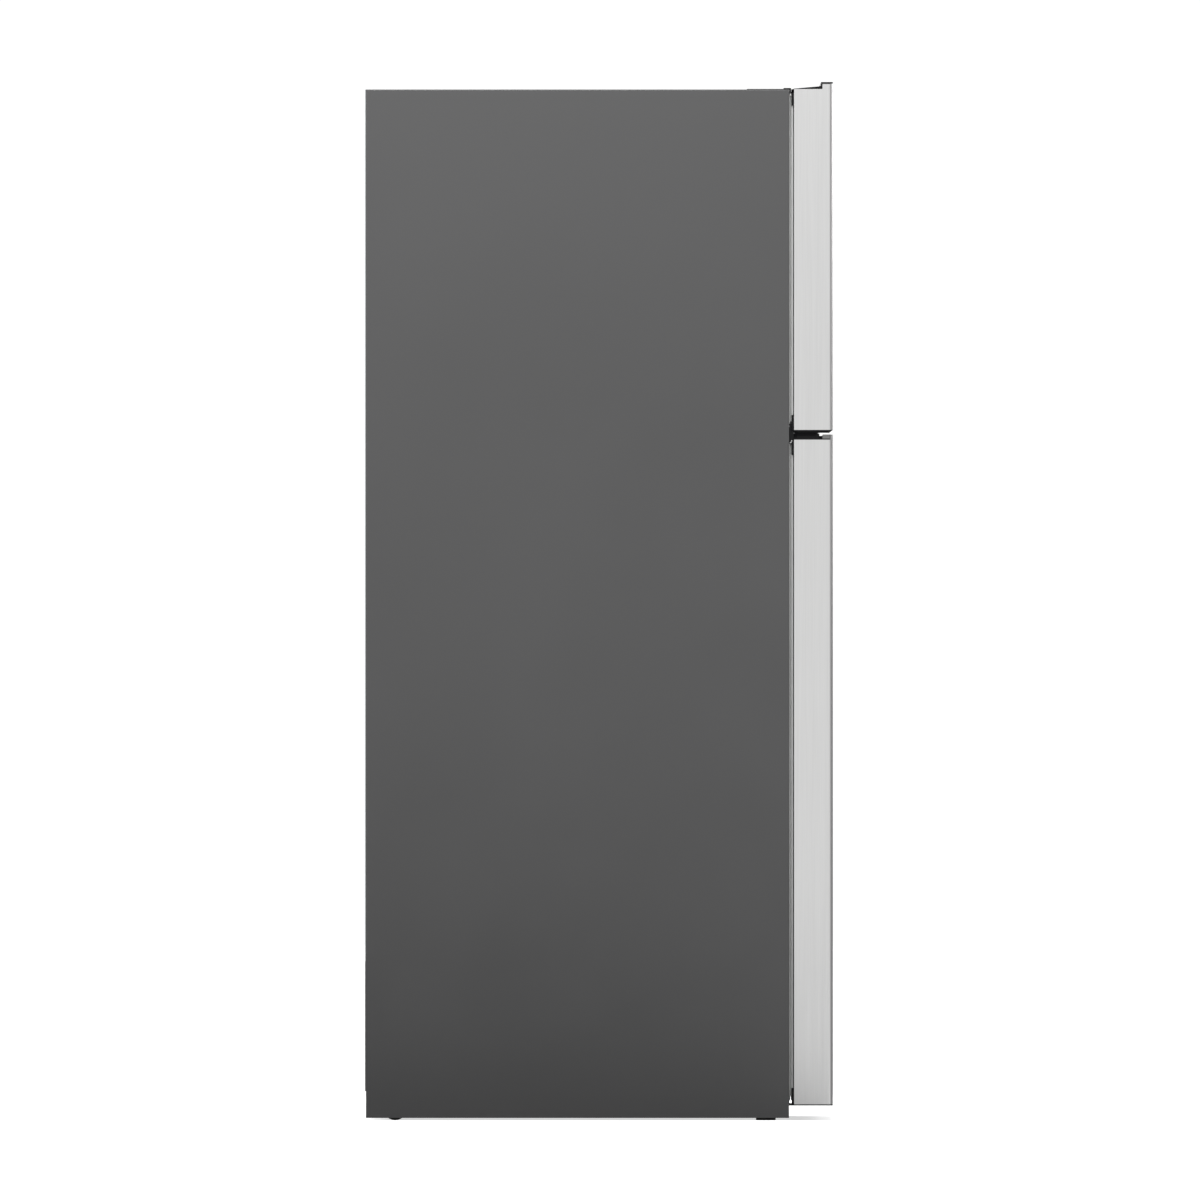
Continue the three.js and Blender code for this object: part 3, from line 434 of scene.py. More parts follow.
@dataclass(frozen=True)
class ClearMoulding(Finish):
    """Clear moulded polystyrene with a breath of blue and faint flow lines."""

    clarity: float = 0.92

    def dress(self, bench: Bench) -> None:
        """Lay out the clear plastic.

        Args:
            bench: Where the nodes go.
        """
        bench.set(Transmission_Weight=self.clarity, IOR=1.5)
        self.tone(bench, bench.noise(11.0, 4.0), 0.96, 1.0)
        self.gloss(bench, bench.noise(30.0, 4.0), self.roughness * 0.4, self.roughness * 0.6)
        bench.relief((bench.noise(26.0, 2.0, (1.0, 1.0, 0.3)), 0.00008))


@dataclass(frozen=True)
class FloatGlass(Finish):
    """Tempered shelf glass: green in its depth, faint roller waves."""

    def dress(self, bench: Bench) -> None:
        """Lay out the glass.

        Args:
            bench: Where the nodes go.
        """
        bench.set(Transmission_Weight=0.96, IOR=1.52)
        self.tone(bench, bench.noise(5.0, 2.0), 0.97, 1.0)
        self.gloss(bench, bench.noise(12.0, 5.0), 0.0, 0.05)
        bench.relief((bench.noise(9.0, 1.0, (0.3, 1.0, 1.0)), 0.00012))


@dataclass(frozen=True)
class ZincSheet(Finish):
    """Hot-dipped sheet with its flat crystal spangle and a dull bloom."""

    def dress(self, bench: Bench) -> None:
        """Lay out the zinc.

        Args:
            bench: Where the nodes go.
        """
        crystal = bench.cells(85.0, "Color")
        bench.set(Metallic=0.9)
        self.tone(bench, crystal, 0.88, 1.1)
        bench.feed("Roughness", bench.spread(crystal, self.roughness - 0.08, self.roughness + 0.1, 0.0, 1.0))
        bench.relief((bench.noise(60.0, 4.0), 0.00005))


@dataclass(frozen=True)
class DrawnMetal(Finish):
    """Drawn tube or rolled strip, bright where it was handled and dull where it tarnished."""

    tarnish: Colour = (0.1, 0.08, 0.06)

    def dress(self, bench: Bench) -> None:
        """Lay out the metal.

        Args:
            bench: Where the nodes go.
        """
        spots = bench.spread(bench.noise(28.0, 7.0), 0.0, 0.75, 0.45, 0.8)
        bench.set(Metallic=0.95)
        bench.feed("Base Color", bench.blend(spots, self.colour, self.tarnish))
        self.gloss(bench, bench.noise(50.0, 4.0), 0.06, 0.14)
        bench.relief((bench.noise(500.0, 2.0), 0.00002))


@dataclass(frozen=True)
class Rubber(Finish):
    """Soft vinyl or rubber with a matte skin and a little dust."""

    specular: float = 0.35

    def dress(self, bench: Bench) -> None:
        """Lay out the rubber.

        Args:
            bench: Where the nodes go.
        """
        bench.set(Specular_IOR_Level=self.specular)
        dust = bench.spread(bench.noise(16.0, 6.0), 0.0, 1.0, 0.4, 0.8)
        self.tone(bench, dust, 1.0, 1.15)
        bench.feed("Roughness", bench.spread(dust, self.roughness - 0.05, self.roughness + 0.08, 0.0, 1.0))
        bench.relief((bench.noise(900.0, 2.0), 0.00003))


@dataclass(frozen=True)
class CellFoam(Finish):
    """Rigid poured foam, cut cells and soft lumps, each cell painted darker in its pit as painted shade."""

    def dress(self, bench: Bench) -> None:
        """Lay out the foam.

        Args:
            bench: Where the nodes go.
        """
        # painted shade: the same cells as the bump below, darker where each cell is deepest
        self.tone(bench, bench.cells(700.0), 0.75, 1.0)
        self.gloss(bench, bench.noise(90.0, 3.0), 0.1, 0.0)
        bench.relief((bench.cells(700.0), 0.0003), (bench.noise(24.0, 4.0), 0.0015))


CABINET_PAINT = PaintedSheet("dark_grey_paint", "grey_paint", (0.083, 0.083, 0.084), 0.42)
STEEL = (0.595, 0.595, 0.592)
# both door steels carry painted shade at the top of their end faces: a thin dark line on the freezer, a
# shaded top band over a shadow line on the fridge
FREEZER_STEEL = BrushedSheet("door_stainless", "stainless", STEEL, 0.34, shade_from=1.6776, shadow_line=0.0008)
FRIDGE_STEEL = BrushedSheet("door_stainless_shaded_top", "stainless", STEEL, 0.34, shade_from=1.1032)
WHITE_LINER = FormedLiner("white_liner", "liner_white", (0.82, 0.83, 0.82), 0.34)
WHITE_TRIM = Moulding("white_trim", "liner_white", (0.8, 0.81, 0.8), 0.38, grain=900.0, flow=0.02)
BLACK_TRIM = Moulding("black_trim", "trim_black", (0.008, 0.008, 0.009), 0.5, specular=0.16)
DIAL_GREY = Moulding("dial_grey", "trim_black", (0.12, 0.125, 0.13), 0.42)
SEAL = Rubber("door_seal", "seal_grey", (0.74, 0.75, 0.74), 0.5)
ZINC = ZincSheet("zinc_sheet", "galvanised", (0.46, 0.48, 0.49), 0.42)
CORE = CellFoam("cream_foam", "foam", (0.72, 0.6, 0.33), 0.95)
CLEAR = ClearMoulding("clear_plastic", "clear_plastic", (0.94, 0.975, 0.985), 0.05, clarity=0.96)
ICE_BLUE = Moulding("tray_blue_white", "clear_plastic", (0.62, 0.72, 0.78), 0.3, grain=700.0, flow=0.03)
LENS = ClearMoulding("light_lens", "clear_plastic", (0.93, 0.95, 0.93), 0.45, clarity=0.7)
GLASS = FloatGlass("shelf_glass", "shelf_glass", (0.9, 0.97, 0.94), 0.02)
HINGE_PAINT = PaintedSheet("hinge_black", "hinge_steel", (0.018, 0.018, 0.02), 0.38, drift=0.1)
ENAMEL = PaintedSheet(
    "compressor_enamel", "machine_black", (0.02, 0.02, 0.022), 0.24, peel=0.00006, drift=0.2
)
COPPER = DrawnMetal("copper_tube", "copper_tube", (0.72, 0.36, 0.22), 0.3, tarnish=(0.16, 0.07, 0.04))
ALUMINIUM = DrawnMetal(
    "coil_aluminium", "coil_aluminium", (0.72, 0.74, 0.76), 0.32, tarnish=(0.4, 0.41, 0.42)
)
# near-black with almost no sheen: painted shadow for the gaps behind the seals and between the doors
GAP_SHADOW_BLACK = Rubber("gap_shadow_black", "trim_black", (0.006, 0.006, 0.007), 0.8, specular=0.08)
TREAD = Rubber("hard_rubber", "tyre_grey", (0.05, 0.05, 0.052), 0.6)
HINGE_STEEL = DrawnMetal("hinge_screws", "hinge_steel", (0.05, 0.05, 0.055), 0.3, tarnish=(0.03, 0.03, 0.03))
SCREW_ZINC = DrawnMetal("screw_zinc", "galvanised", (0.6, 0.61, 0.62), 0.3, tarnish=(0.3, 0.3, 0.29))


# ---------------------------------------------------------------- shaping

MERGE = 0.000002  # points of a node closer than this are one, in metres
FLAT = 0.5  # faces that meet at less than this are one flat, in degrees
HARD = 35  # edges of a node sharper than this are softened, in degrees
CORNER = 0.6  # edges of a blank sharper than this are rounded, in radians
NEAR = 0.0001  # how close a point has to be to count as on an edge, in metres


def stand(name: str, data: bpy.types.ID) -> bpy.types.Object:
    """Put something into the scene.

    Args:
        name: Its name.
        data: Its mesh, light or camera.

    Returns:
        The new object.
    """
    item = bpy.data.objects.new(name, data)
    bpy.context.scene.collection.objects.link(item)
    return item


def cast(name: str, work: bmesh.types.BMesh, material: bpy.types.Material) -> bpy.types.Object:
    """Put a shape into the scene.

    Args:
        name: Its name.
        work: The shape, which is used up.
        material: Its material.

    Returns:
        The new object.
    """
    mesh = bpy.data.meshes.new(name)
    work.to_mesh(mesh)
    work.free()
    mesh.materials.append(material)
    return stand(name, mesh)


class Blank:
    """A piece being shaped, in metres, in the refrigerator's frame."""

    def __init__(self, name: str) -> None:
        """Start with nothing.

        Args:
            name: Name of the piece.
        """
        self.name = name
        self.work = bmesh.new()

    def _round(self, faces: Sequence[bmesh.types.BMFace], edge: float, steps: int) -> None:
        """Round the hard edges of some faces.

        Args:
            faces: The faces whose edges are rounded.
            edge: Radius of the rounding.
            steps: Facets across it.
        """
        if edge <= 0:
            return
        edges = dict.fromkeys(e for f in faces for e in f.edges)
        hard = [e for e in edges if len(e.link_faces) == 2 and e.calc_face_angle(0.0) > CORNER]
        options = {"affect": "EDGES", "profile": 0.5, "clamp_overlap": True}
        bmesh.ops.bevel(self.work, geom=hard, offset=edge, segments=steps, **options)

    def block(self, low: Sequence[float], high: Sequence[float], edge: float = 0.0, steps: int = 3) -> Blank:
        """Add a block with rounded edges.

        Args:
            low: Its lowest corner.
            high: Its highest corner.
            edge: Radius of its edges.
            steps: Facets across an edge.

        Returns:
            This blank.
        """
        size = [b - a for a, b in zip(low, high)]
        middle = [(b + a) / 2 for a, b in zip(low, high)]
        at = Matrix.Translation(middle) @ Matrix.Diagonal((*size, 1.0))
        cube = bmesh.ops.create_cube(self.work, size=1.0, matrix=at)
        faces = dict.fromkeys(f for v in cube["verts"] for f in v.link_faces)
        self._round(list(faces), edge, steps)
        return self

    def prism(
        self, outline: Sequence[Flat], axis: Axis, start: float, end: float, edge: float = 0.0
    ) -> Blank:
        """Add a prism.

        Args:
            outline: Its closed outline, in the two axes that follow in cyclic order.
            axis: The way it runs.
            start: Where it starts.
            end: Where it ends.
            edge: Radius of its edges.

        Returns:
            This blank.
        """
        near = [self.work.verts.new(axis.point(a, b, start)) for a, b in outline]
        far = [self.work.verts.new(axis.point(a, b, end)) for a, b in outline]
        faces = [self.work.faces.new(near[::-1]), self.work.faces.new(far)]
        for i in range(len(outline)):
            j = (i + 1) % len(outline)
            faces.append(self.work.faces.new((near[i], near[j], far[j], far[i])))
        bmesh.ops.recalc_face_normals(self.work, faces=faces)
        self._round(faces, edge, 2)
        return self

    def turned(self, profile: Sequence[Flat], centre: Vector, axis: Axis, sides: int = 32) -> Blank:
        """Add a turned shape.

        Args:
            profile: Radius and height pairs, from one end on the axis to the other.
            centre: Where height 0 is.
            axis: The axis it turns about.
            sides: Facets round it.

        Returns:
            This blank.
        """
        rings: list[list[bmesh.types.BMVert]] = []
        for radius, height in profile:
            count = 1 if radius < 1e-7 else sides
            ring = []
            for i in range(count):
                angle = 2 * math.pi * i / sides
                spot = axis.point(radius * math.cos(angle), radius * math.sin(angle), height)
                ring.append(self.work.verts.new(centre + spot))
            rings.append(ring)
        faces = []
        for lower, upper in zip(rings, rings[1:]):
            for i in range(sides):
                around = ((lower, i), (lower, i + 1), (upper, i + 1), (upper, i))
                unique = list(dict.fromkeys(ring[k % len(ring)] for ring, k in around))
                if len(unique) > 2:
                    faces.append(self.work.faces.new(unique))
        bmesh.ops.recalc_face_normals(self.work, faces=faces)
        return self

    def loft(self, rings: Sequence[Sequence[Vector]], closed: bool = False, capped: bool = False) -> Blank:
        """Join rings of points into a skin.

        Args:
            rings: Rings with the same number of points.
            closed: Whether the last ring joins the first.
            capped: Whether both ends are filled.

        Returns:
            This blank.
        """
        rows = [[self.work.verts.new(p) for p in ring] for ring in rings]
        pairs = list(zip(rows, rows[1:])) + ([(rows[-1], rows[0])] if closed else [])
        faces = []
        for lower, upper in pairs:
            for i in range(len(lower)):
                j = (i + 1) % len(lower)
                faces.append(self.work.faces.new((lower[i], lower[j], upper[j], upper[i])))
        if capped:
            faces.append(self.work.faces.new(rows[0][::-1]))
            faces.append(self.work.faces.new(rows[-1]))
        bmesh.ops.recalc_face_normals(self.work, faces=faces)
        return self

    def tube(self, route: Sequence[Vector], radius: float, sides: int = 12) -> Blank:
        """Add a tube along a smooth route.

        Args:
            route: Points it passes through.
            radius: Its radius.
            sides: Facets round it.

        Returns:
            This blank.
        """
        rings = []
        up = Vector((0.0, 0.0, 1.0))
        for i, spot in enumerate(route):
            ahead = route[min(i + 1, len(route) - 1)] - route[max(i - 1, 0)]
            ahead.normalize()
            side = ahead.cross(up)
            if side.length < 1e-3:
                side = ahead.cross(Vector((0.0, 1.0, 0.0)))
            side.normalize()
            up = side.cross(ahead).normalized()
            angles = [2 * math.pi * k / sides for k in range(sides)]
            rings.append([spot + radius * (math.cos(a) * side + math.sin(a) * up) for a in angles])
        return self.loft(rings, capped=True)

    def copies(self, step: Vector, count: int) -> Blank:
        """Repeat everything so far.

        Args:
            step: From one copy to the next.
            count: How many there are in all.

        Returns:
            This blank.
        """
        first = self.work.verts[:] + self.work.edges[:] + self.work.faces[:]
        for i in range(1, count):
            extra = bmesh.ops.duplicate(self.work, geom=first)
            points = [v for v in extra["geom"] if isinstance(v, bmesh.types.BMVert)]
            bmesh.ops.translate(self.work, vec=step * i, verts=points)
        return self

    def fit(
        self, body: str, finish: Finish, stands_for: Sequence[str] = (), crease: float = 35.0
    ) -> bpy.types.Object:
        """Finish the piece and hang it on its body.

        Args:
            body: The body it moves with.
            finish: Its finish.
            stands_for: The nodes it is shown in place of.
            crease: Angle in degrees above which an edge stays sharp.

        Returns:
            The piece.
        """
        piece = cast(self.name, self.work, finish.material())
        faces = piece.data.polygons
        faces.foreach_set("use_smooth", [True] * len(faces))
        piece.data.set_sharp_from_angle(angle=math.radians(crease))
        weigh = piece.modifiers.new("flats", "WEIGHTED_NORMAL")
        weigh.keep_sharp = True
        if stands_for:
            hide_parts(*stands_for)
        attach(piece, body)
        log.info("made %s on %s", self.name, body)
        return piece


def bend(points: Sequence[Point], steps: int = 8) -> list[Vector]:
    """Run a smooth line through some points.

    Args:
        points: The points.
        steps: Stretches between two of them.

    Returns:
        The line.
    """
    knots = [Vector(p) for p in points]
    knots = [knots[0] * 2 - knots[1], *knots, knots[-1] * 2 - knots[-2]]
    line = []
    for a, b, c, d in zip(knots, knots[1:], knots[2:], knots[3:]):
        for i in range(steps):
            t = i / steps
            square, cube = 2 * a - 5 * b + 4 * c - d, 3 * b - a - 3 * c + d
            line.append(0.5 * (2 * b + (c - a) * t + square * t * t + cube * t**3))
    return [*line, knots[-2]]


def rounded(low: Flat, high: Flat, radius: float, steps: int = 6) -> list[Flat]:
    """Outline a rectangle with round corners.

    Args:
        low: Its lowest corner.
        high: Its highest corner.
        radius: Radius of the corners.
        steps: Facets across a corner.

    Returns:
        The outline, anticlockwise from the lower right corner.
    """
    outline = []
    corners = ((high[0], low[1], -90), (high[0], high[1], 0), (low[0], high[1], 90), (low[0], low[1], 180))
    for x, y, turn in corners:
        cx = x - radius if x == high[0] else x + radius
        cy = y - radius if y == high[1] else y + radius
        for i in range(steps + 1):
            angle = math.radians(turn + 90 * i / steps)
            outline.append((cx + radius * math.cos(angle), cy + radius * math.sin(angle)))
    return outline


def dress(finish: Finish, edge: float, *nodes: str) -> None:
    """Give shaped frame nodes their finish and soften their edges.

    Args:
        finish: Their finish.
        edge: Rounding of their hard edges.
        *nodes: Their names.
    """
    for name in nodes:
        piece = bpy.data.objects[name]
        piece.data.materials.clear()
        piece.data.materials.append(finish.material())
        weld = piece.modifiers.new("weld", "WELD")
        weld.merge_threshold = MERGE
        merge = piece.modifiers.new("flatten", "DECIMATE")
        merge.decimate_type = "DISSOLVE"
        merge.angle_limit = math.radians(FLAT)
        if edge > 0:
            soften = piece.modifiers.new("edges", "BEVEL")
            soften.width = edge
            soften.segments = 2
            soften.limit_method = "ANGLE"
            soften.angle_limit = math.radians(HARD)
        weigh = piece.modifiers.new("flats", "WEIGHTED_NORMAL")
        weigh.keep_sharp = False
        log.info("dressed %s in %s", name, finish.name)


def roll(node: str, label: str, radius: float, member: Callable[[Vector], bool]) -> None:
    """Roll one long edge of a node to a larger radius.

    Args:
        node: The node.
        label: Name of the edge.
        radius: Radius of the edge.
        member: Whether a point lies on that edge.
    """
    piece = bpy.data.objects[node]
    group = piece.vertex_groups.new(name=label)
    group.add([v.index for v in piece.data.vertices if member(v.co)], 1.0, "REPLACE")
    turn = piece.modifiers.new(label, "BEVEL")
    turn.limit_method = "VGROUP"
    turn.vertex_group = label
    turn.width = radius
    turn.segments = 4
    after_flatten = 2
    piece.modifiers.move(len(piece.modifiers) - 1, after_flatten)


# ---------------------------------------------------------------- the refrigerator


@dataclass
class Screws:
    """Pan-head screws with a dished recess."""

    radius: float
    height: float

    def drive(
        self,
        name: str,
        body: str,
        spots: Iterable[Point],
        axis: Axis,
        outward: float,
        finish: Finish = SCREW_ZINC,
    ) -> None:
        """Drive screws into a surface.

        Args:
            name: Name of the set.
            body: The body they hold on to.
            spots: Where each sits on the surface.
            axis: The way they point.
            outward: 1 if their heads face up that axis, -1 if down it.
            finish: Their finish.
        """
        blank = Blank(name)
        head = ((1.0, 0.0), (0.97, 0.45), (0.72, 0.85), (0.3, 1.0), (0.24, 0.45), (0.0, 0.35))
        profile = [(self.radius * across, self.height * outward * up) for across, up in head]
        for spot in spots:
            blank.turned(profile, Vector(spot), axis, 16)
        blank.fit(body, finish)


@dataclass
class DoorSeal:
    """A magnetic door seal: foot, folded bellows and magnet pocket, mitred round the door.

    The section pairs an inset from the seal's outer edge with a share of its depth, from the door outwards.
    """

    node: str
    body: str
    flare: float = 0.003
    corner: float = 0.004
    tightest: float = 0.0015
    lip: float = 0.0012
    # width of the near-black painted shadow strip behind the seal's foot
    shadow_width: float = 0.006
    steps: int = 5
    crease: float = 50.0
    section: tuple[Flat, ...] = (
        (0.0045, 0.00), (0.0045, 0.09), (0.0006, 0.12), (0.0, 0.14), (0.0, 0.52), (0.0006, 0.55),
        (0.0050, 0.58), (0.0050, 0.74), (0.0006, 0.77), (0.0, 0.79), (0.0, 0.97), (0.0006, 1.00),
        (0.0110, 1.00), (0.0120, 0.92), (0.0118, 0.66), (0.0090, 0.60), (0.0092, 0.42), (0.0130, 0.36),
        (0.0132, 0.22), (0.0165, 0.16), (0.0170, 0.0),
    )

    def build(self) -> None:
        """Sweep the seal's section round the door, and lay a near-black strip behind its foot as painted
        shadow in the gap.
        """
        low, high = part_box(self.node)
        depth = high.y - low.y
        folds = [
            self.ring(inset, self.flare, low.y + share * depth, max(self.corner - inset, self.tightest))
            for inset, share in self.section
        ]
        bellows = Blank(f"{self.node}_bellows").loft(folds, closed=True)
        bellows.fit(self.body, SEAL, [self.node], crease=self.crease)
        # painted shadow: a near-black strip lining the gap behind the seal's foot
        rear, front = low.y - 0.0002, low.y + 0.0006
        sides = ((0.0, rear), (0.0, front), (self.shadow_width, front), (self.shadow_width, rear))
        walls = [self.ring(inset, self.flare + self.lip, y, self.corner) for inset, y in sides]
        shadow_strip = Blank(f"{self.node}_channel").loft(walls, closed=True)
        shadow_strip.fit(self.body, GAP_SHADOW_BLACK, crease=self.crease)

    def ring(self, inset: float, flare: float, y: float, corner: float) -> list[Vector]:
        """Outline the seal at one depth.

        Args:
            inset: How far the outline lies inside the seal's outer edge.
            flare: How far that edge stands out sideways from the seal's node.
            y: Where the outline lies.
            corner: Radius of its corners.

        Returns:
            The outline's points.
        """
        low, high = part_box(self.node)
        near = (low.x - flare + inset, low.z + inset)
        far = (high.x + flare - inset, high.z - inset)
        return [Vector((x, y, z)) for x, z in rounded(near, far, corner, self.steps)]


@dataclass
class BinRim:
    """The white band that stiffens the top of a door bin."""

    node: str
    body: str
    tall: float = 0.011
    corner: float = 0.006

    def build(self) -> None:
        """Run the band round the bin's top."""
        low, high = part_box(self.node)
        top, foot = high.z, high.z - self.tall
        section = (
            (0.0002, foot), (-0.0004, foot + 0.0006), (-0.0004, top - 0.0008), (0.0004, top),
            (0.0022, top), (0.003, top - 0.0008), (0.003, foot + 0.0006), (0.0022, foot),
        )
        rings = []
        for inset, z in section:
            near, far = (low.x + inset, low.y + inset), (high.x - inset, high.y - inset)
            rings.append([Vector((x, y, z)) for x, y in rounded(near, far, self.corner - inset, 4)])
        Blank(f"{self.node}_rim").loft(rings, closed=True).fit(self.body, WHITE_TRIM)


@dataclass
class GlassShelf:
    """A tempered pane held by a white front trim and a white rear stop."""

    node: str
    drop: float = 0.006
    thick: float = 0.005
    stop: float = 0.006
    lip: float = 0.004

    def build(self) -> None:
        """Lay the pane and run its trims."""
        low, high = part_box(self.node)
        level = low.z + self.drop
        top = level + self.thick
        pane = rounded((low.x + 0.001, low.y + 0.004), (high.x - 0.001, high.y - 0.002), 0.005)
        Blank(f"{self.node}_pane").prism(pane, Axis.Z, level, top, 0.0007).fit("cabinet", GLASS, [self.node])
        y, z, crest = low.y, low.z, top + self.lip
        over = [(y + 0.017, top), (y + 0.017, top + 0.001), (y + 0.01, crest - 0.001)] if self.lip else []
        front = [
            (y + 0.002, z), (y + 0.008, z), (y + 0.018, level - 0.0012), (y + 0.018, level),
            (y + 0.005, level), (y + 0.005, top), *over,
            (y + 0.002, crest), (y, crest - 0.002), (y, z + 0.002),
        ]
        trim = Blank(f"{self.node}_front_trim").prism(front, Axis.X, low.x, high.x, 0.0006)
        trim.fit("cabinet", WHITE_TRIM)
        y, z = high.y, top + self.stop
        rear = [
            (y - 0.014, level - 0.003), (y, level - 0.003), (y, z - 0.001), (y - 0.001, z), (y - 0.0025, z),
            (y - 0.004, top + 0.0015), (y - 0.014, top + 0.001),
        ]
        Blank(f"{self.node}_rear_stop").prism(rear, Axis.X, low.x, high.x, 0.0005).fit("cabinet", WHITE_TRIM)


@dataclass
class Coves:
    """The formed radius along the inner edges of a room."""

    name: str
    liner: str
    half: float
    bottom: float
    top: float
    radius: float = 0.014
    steps: int = 6

    def build(self) -> None:
        """Fill the four long corners and the two upright back ones."""
        low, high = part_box(self.liner)
        front, back = low.y + 0.0075, high.y - 0.0015
        blank = Blank(f"{self.name}_coves")
        for side in (-1, 1):
            for level, way in ((self.bottom, 1), (self.top, -1)):
                fillet = self.fillet((level, side * self.half), way, -side)
                blank.prism(fillet, Axis.Y, front, back)
            upright = [(x, y) for y, x in self.fillet((back, side * self.half), -1, -side)]
            blank.prism(upright, Axis.Z, self.bottom, self.top)
        blank.fit("cabinet", WHITE_LINER)

    def fillet(self, corner: Flat, first: int, second: int) -> list[Flat]:
        """Outline the filling of one corner.

        Args:
            corner: Where the two walls meet.
            first: The way into the room along the first axis.
            second: The way into the room along the second axis.

        Returns:
            The outline.
        """
        outline = [corner]
        for i in range(self.steps + 1):
            angle = math.pi / 2 * i / self.steps
            a = corner[0] + first * self.radius * (1 - math.sin(angle))
            b = corner[1] + second * self.radius * (1 - math.cos(angle))
            outline.append((a, b))
        return outline


@dataclass
class SlitTrims:
    """Black mouldings seen in the slit between the doors and the cabinet, and near-black painted shade in
    the gap between the doors.
    """

    edge: float = 0.0008
    sharp: float = 0.0001
    # where the painted-shade block on the fridge door starts, and how thick it is
    shade_front: float = -0.3505
    shade_thick: float = 0.007
    tuck: float = 0.0045
    # how far behind the doors' backs the dark painted-shade sheets hang
    curtain: float = 0.003

    def build(self) -> None:
        """Fit the plug, the painted-shade pieces that close the slit's left end, and the nose."""
        self.plug()
        self.hang_gap_shades()
        self.nose()

    def door_back(self) -> float:
        """Give the plane of the doors' backs."""
        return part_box("freezer_gasket")[0].y - 0.0003

    def tab(self) -> Flat:
        """Give the lowest and highest level of the plug's tab between the doors."""
        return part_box("fridge_gasket")[1].z + 0.0031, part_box("freezer_gasket")[0].z - 0.0111

    def plug(self) -> None:
        """Cover the spare centre hinge holes on the left."""
        low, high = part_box("centre_hinge")
        lower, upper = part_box("fridge_gasket")[1].z + 0.0006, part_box("freezer_gasket")[0].z - 0.0006
        near, (low_tab, high_tab) = -high.x - 0.001, self.tab()
        plug = Blank("hinge_hole_plug")
        plug.block((near, high.y - 0.0034, lower), (-low.x + 0.006, high.y, upper), self.edge)
        front = self.door_back() + 0.0002
        plug.block((near, front, low_tab), (-high.x + 0.0065, high.y - 0.002, high_tab), self.edge)
        plug.fit("cabinet", BLACK_TRIM)

    def hang_gap_shades(self) -> None:
        """Hang near-black painted shade in the gap between the doors: a block on the fridge door and one on
        the freezer door, each with a dark sheet behind.
        """
        back, (low_tab, high_tab) = self.door_back(), self.tab()
        left = -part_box("centre_hinge")[1].x
        right = left + self.shade_thick
        floor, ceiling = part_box("fridge_door_top_cap")[1].z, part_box("freezer_door_bottom_cap")[0].z
        behind, deep, rear = right + 0.0005, right + 0.0065, back + self.curtain
        # painted shade: near-black blocks and sheets fill the gap between the doors where shadow falls
        gap_shade_low = Blank("fridge_door_baffle")
        gap_shade_low.block((left, self.shade_front, floor - 0.003), (right, back, ceiling - 0.0003), self.sharp)
        gap_shade_low.block((left, back - self.tuck, floor - 0.0085), (right, back, floor - 0.002), self.sharp)
        gap_shade_low.block((behind, back - 0.0005, low_tab - 0.001), (deep, rear, floor - 0.0003), self.sharp)
        gap_shade_low.fit("fridge_door", GAP_SHADOW_BLACK)
        gap_shade_high = Blank("freezer_door_skirt")
        gap_shade_high.block((left, back - self.tuck, ceiling), (right, back, ceiling + 0.0048), self.sharp)
        gap_shade_high.block((behind, back - 0.0005, ceiling + 0.0003), (deep, rear, high_tab + 0.001), self.sharp)
        gap_shade_high.fit("freezer_door", GAP_SHADOW_BLACK)

    def nose(self) -> None:
        """Carry the cabinet's corner cap on across the slit with a nose on the freezer door."""
        low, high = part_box("corner_cap")
        back, front, top = self.door_back(), low.y - 0.0004, high.z
        outline = [
            (front, top - 0.008), (front, top - 0.0022), (back - 0.002, top - 0.0008),
            (back - 0.006, top - 0.0008), (back - 0.006, top - 0.004), (back + 0.002, top - 0.008),
        ]
        nose = Blank("freezer_door_nose").prism(outline, Axis.X, low.x, high.x, 0.0002)
        nose.fit("freezer_door", BLACK_TRIM)


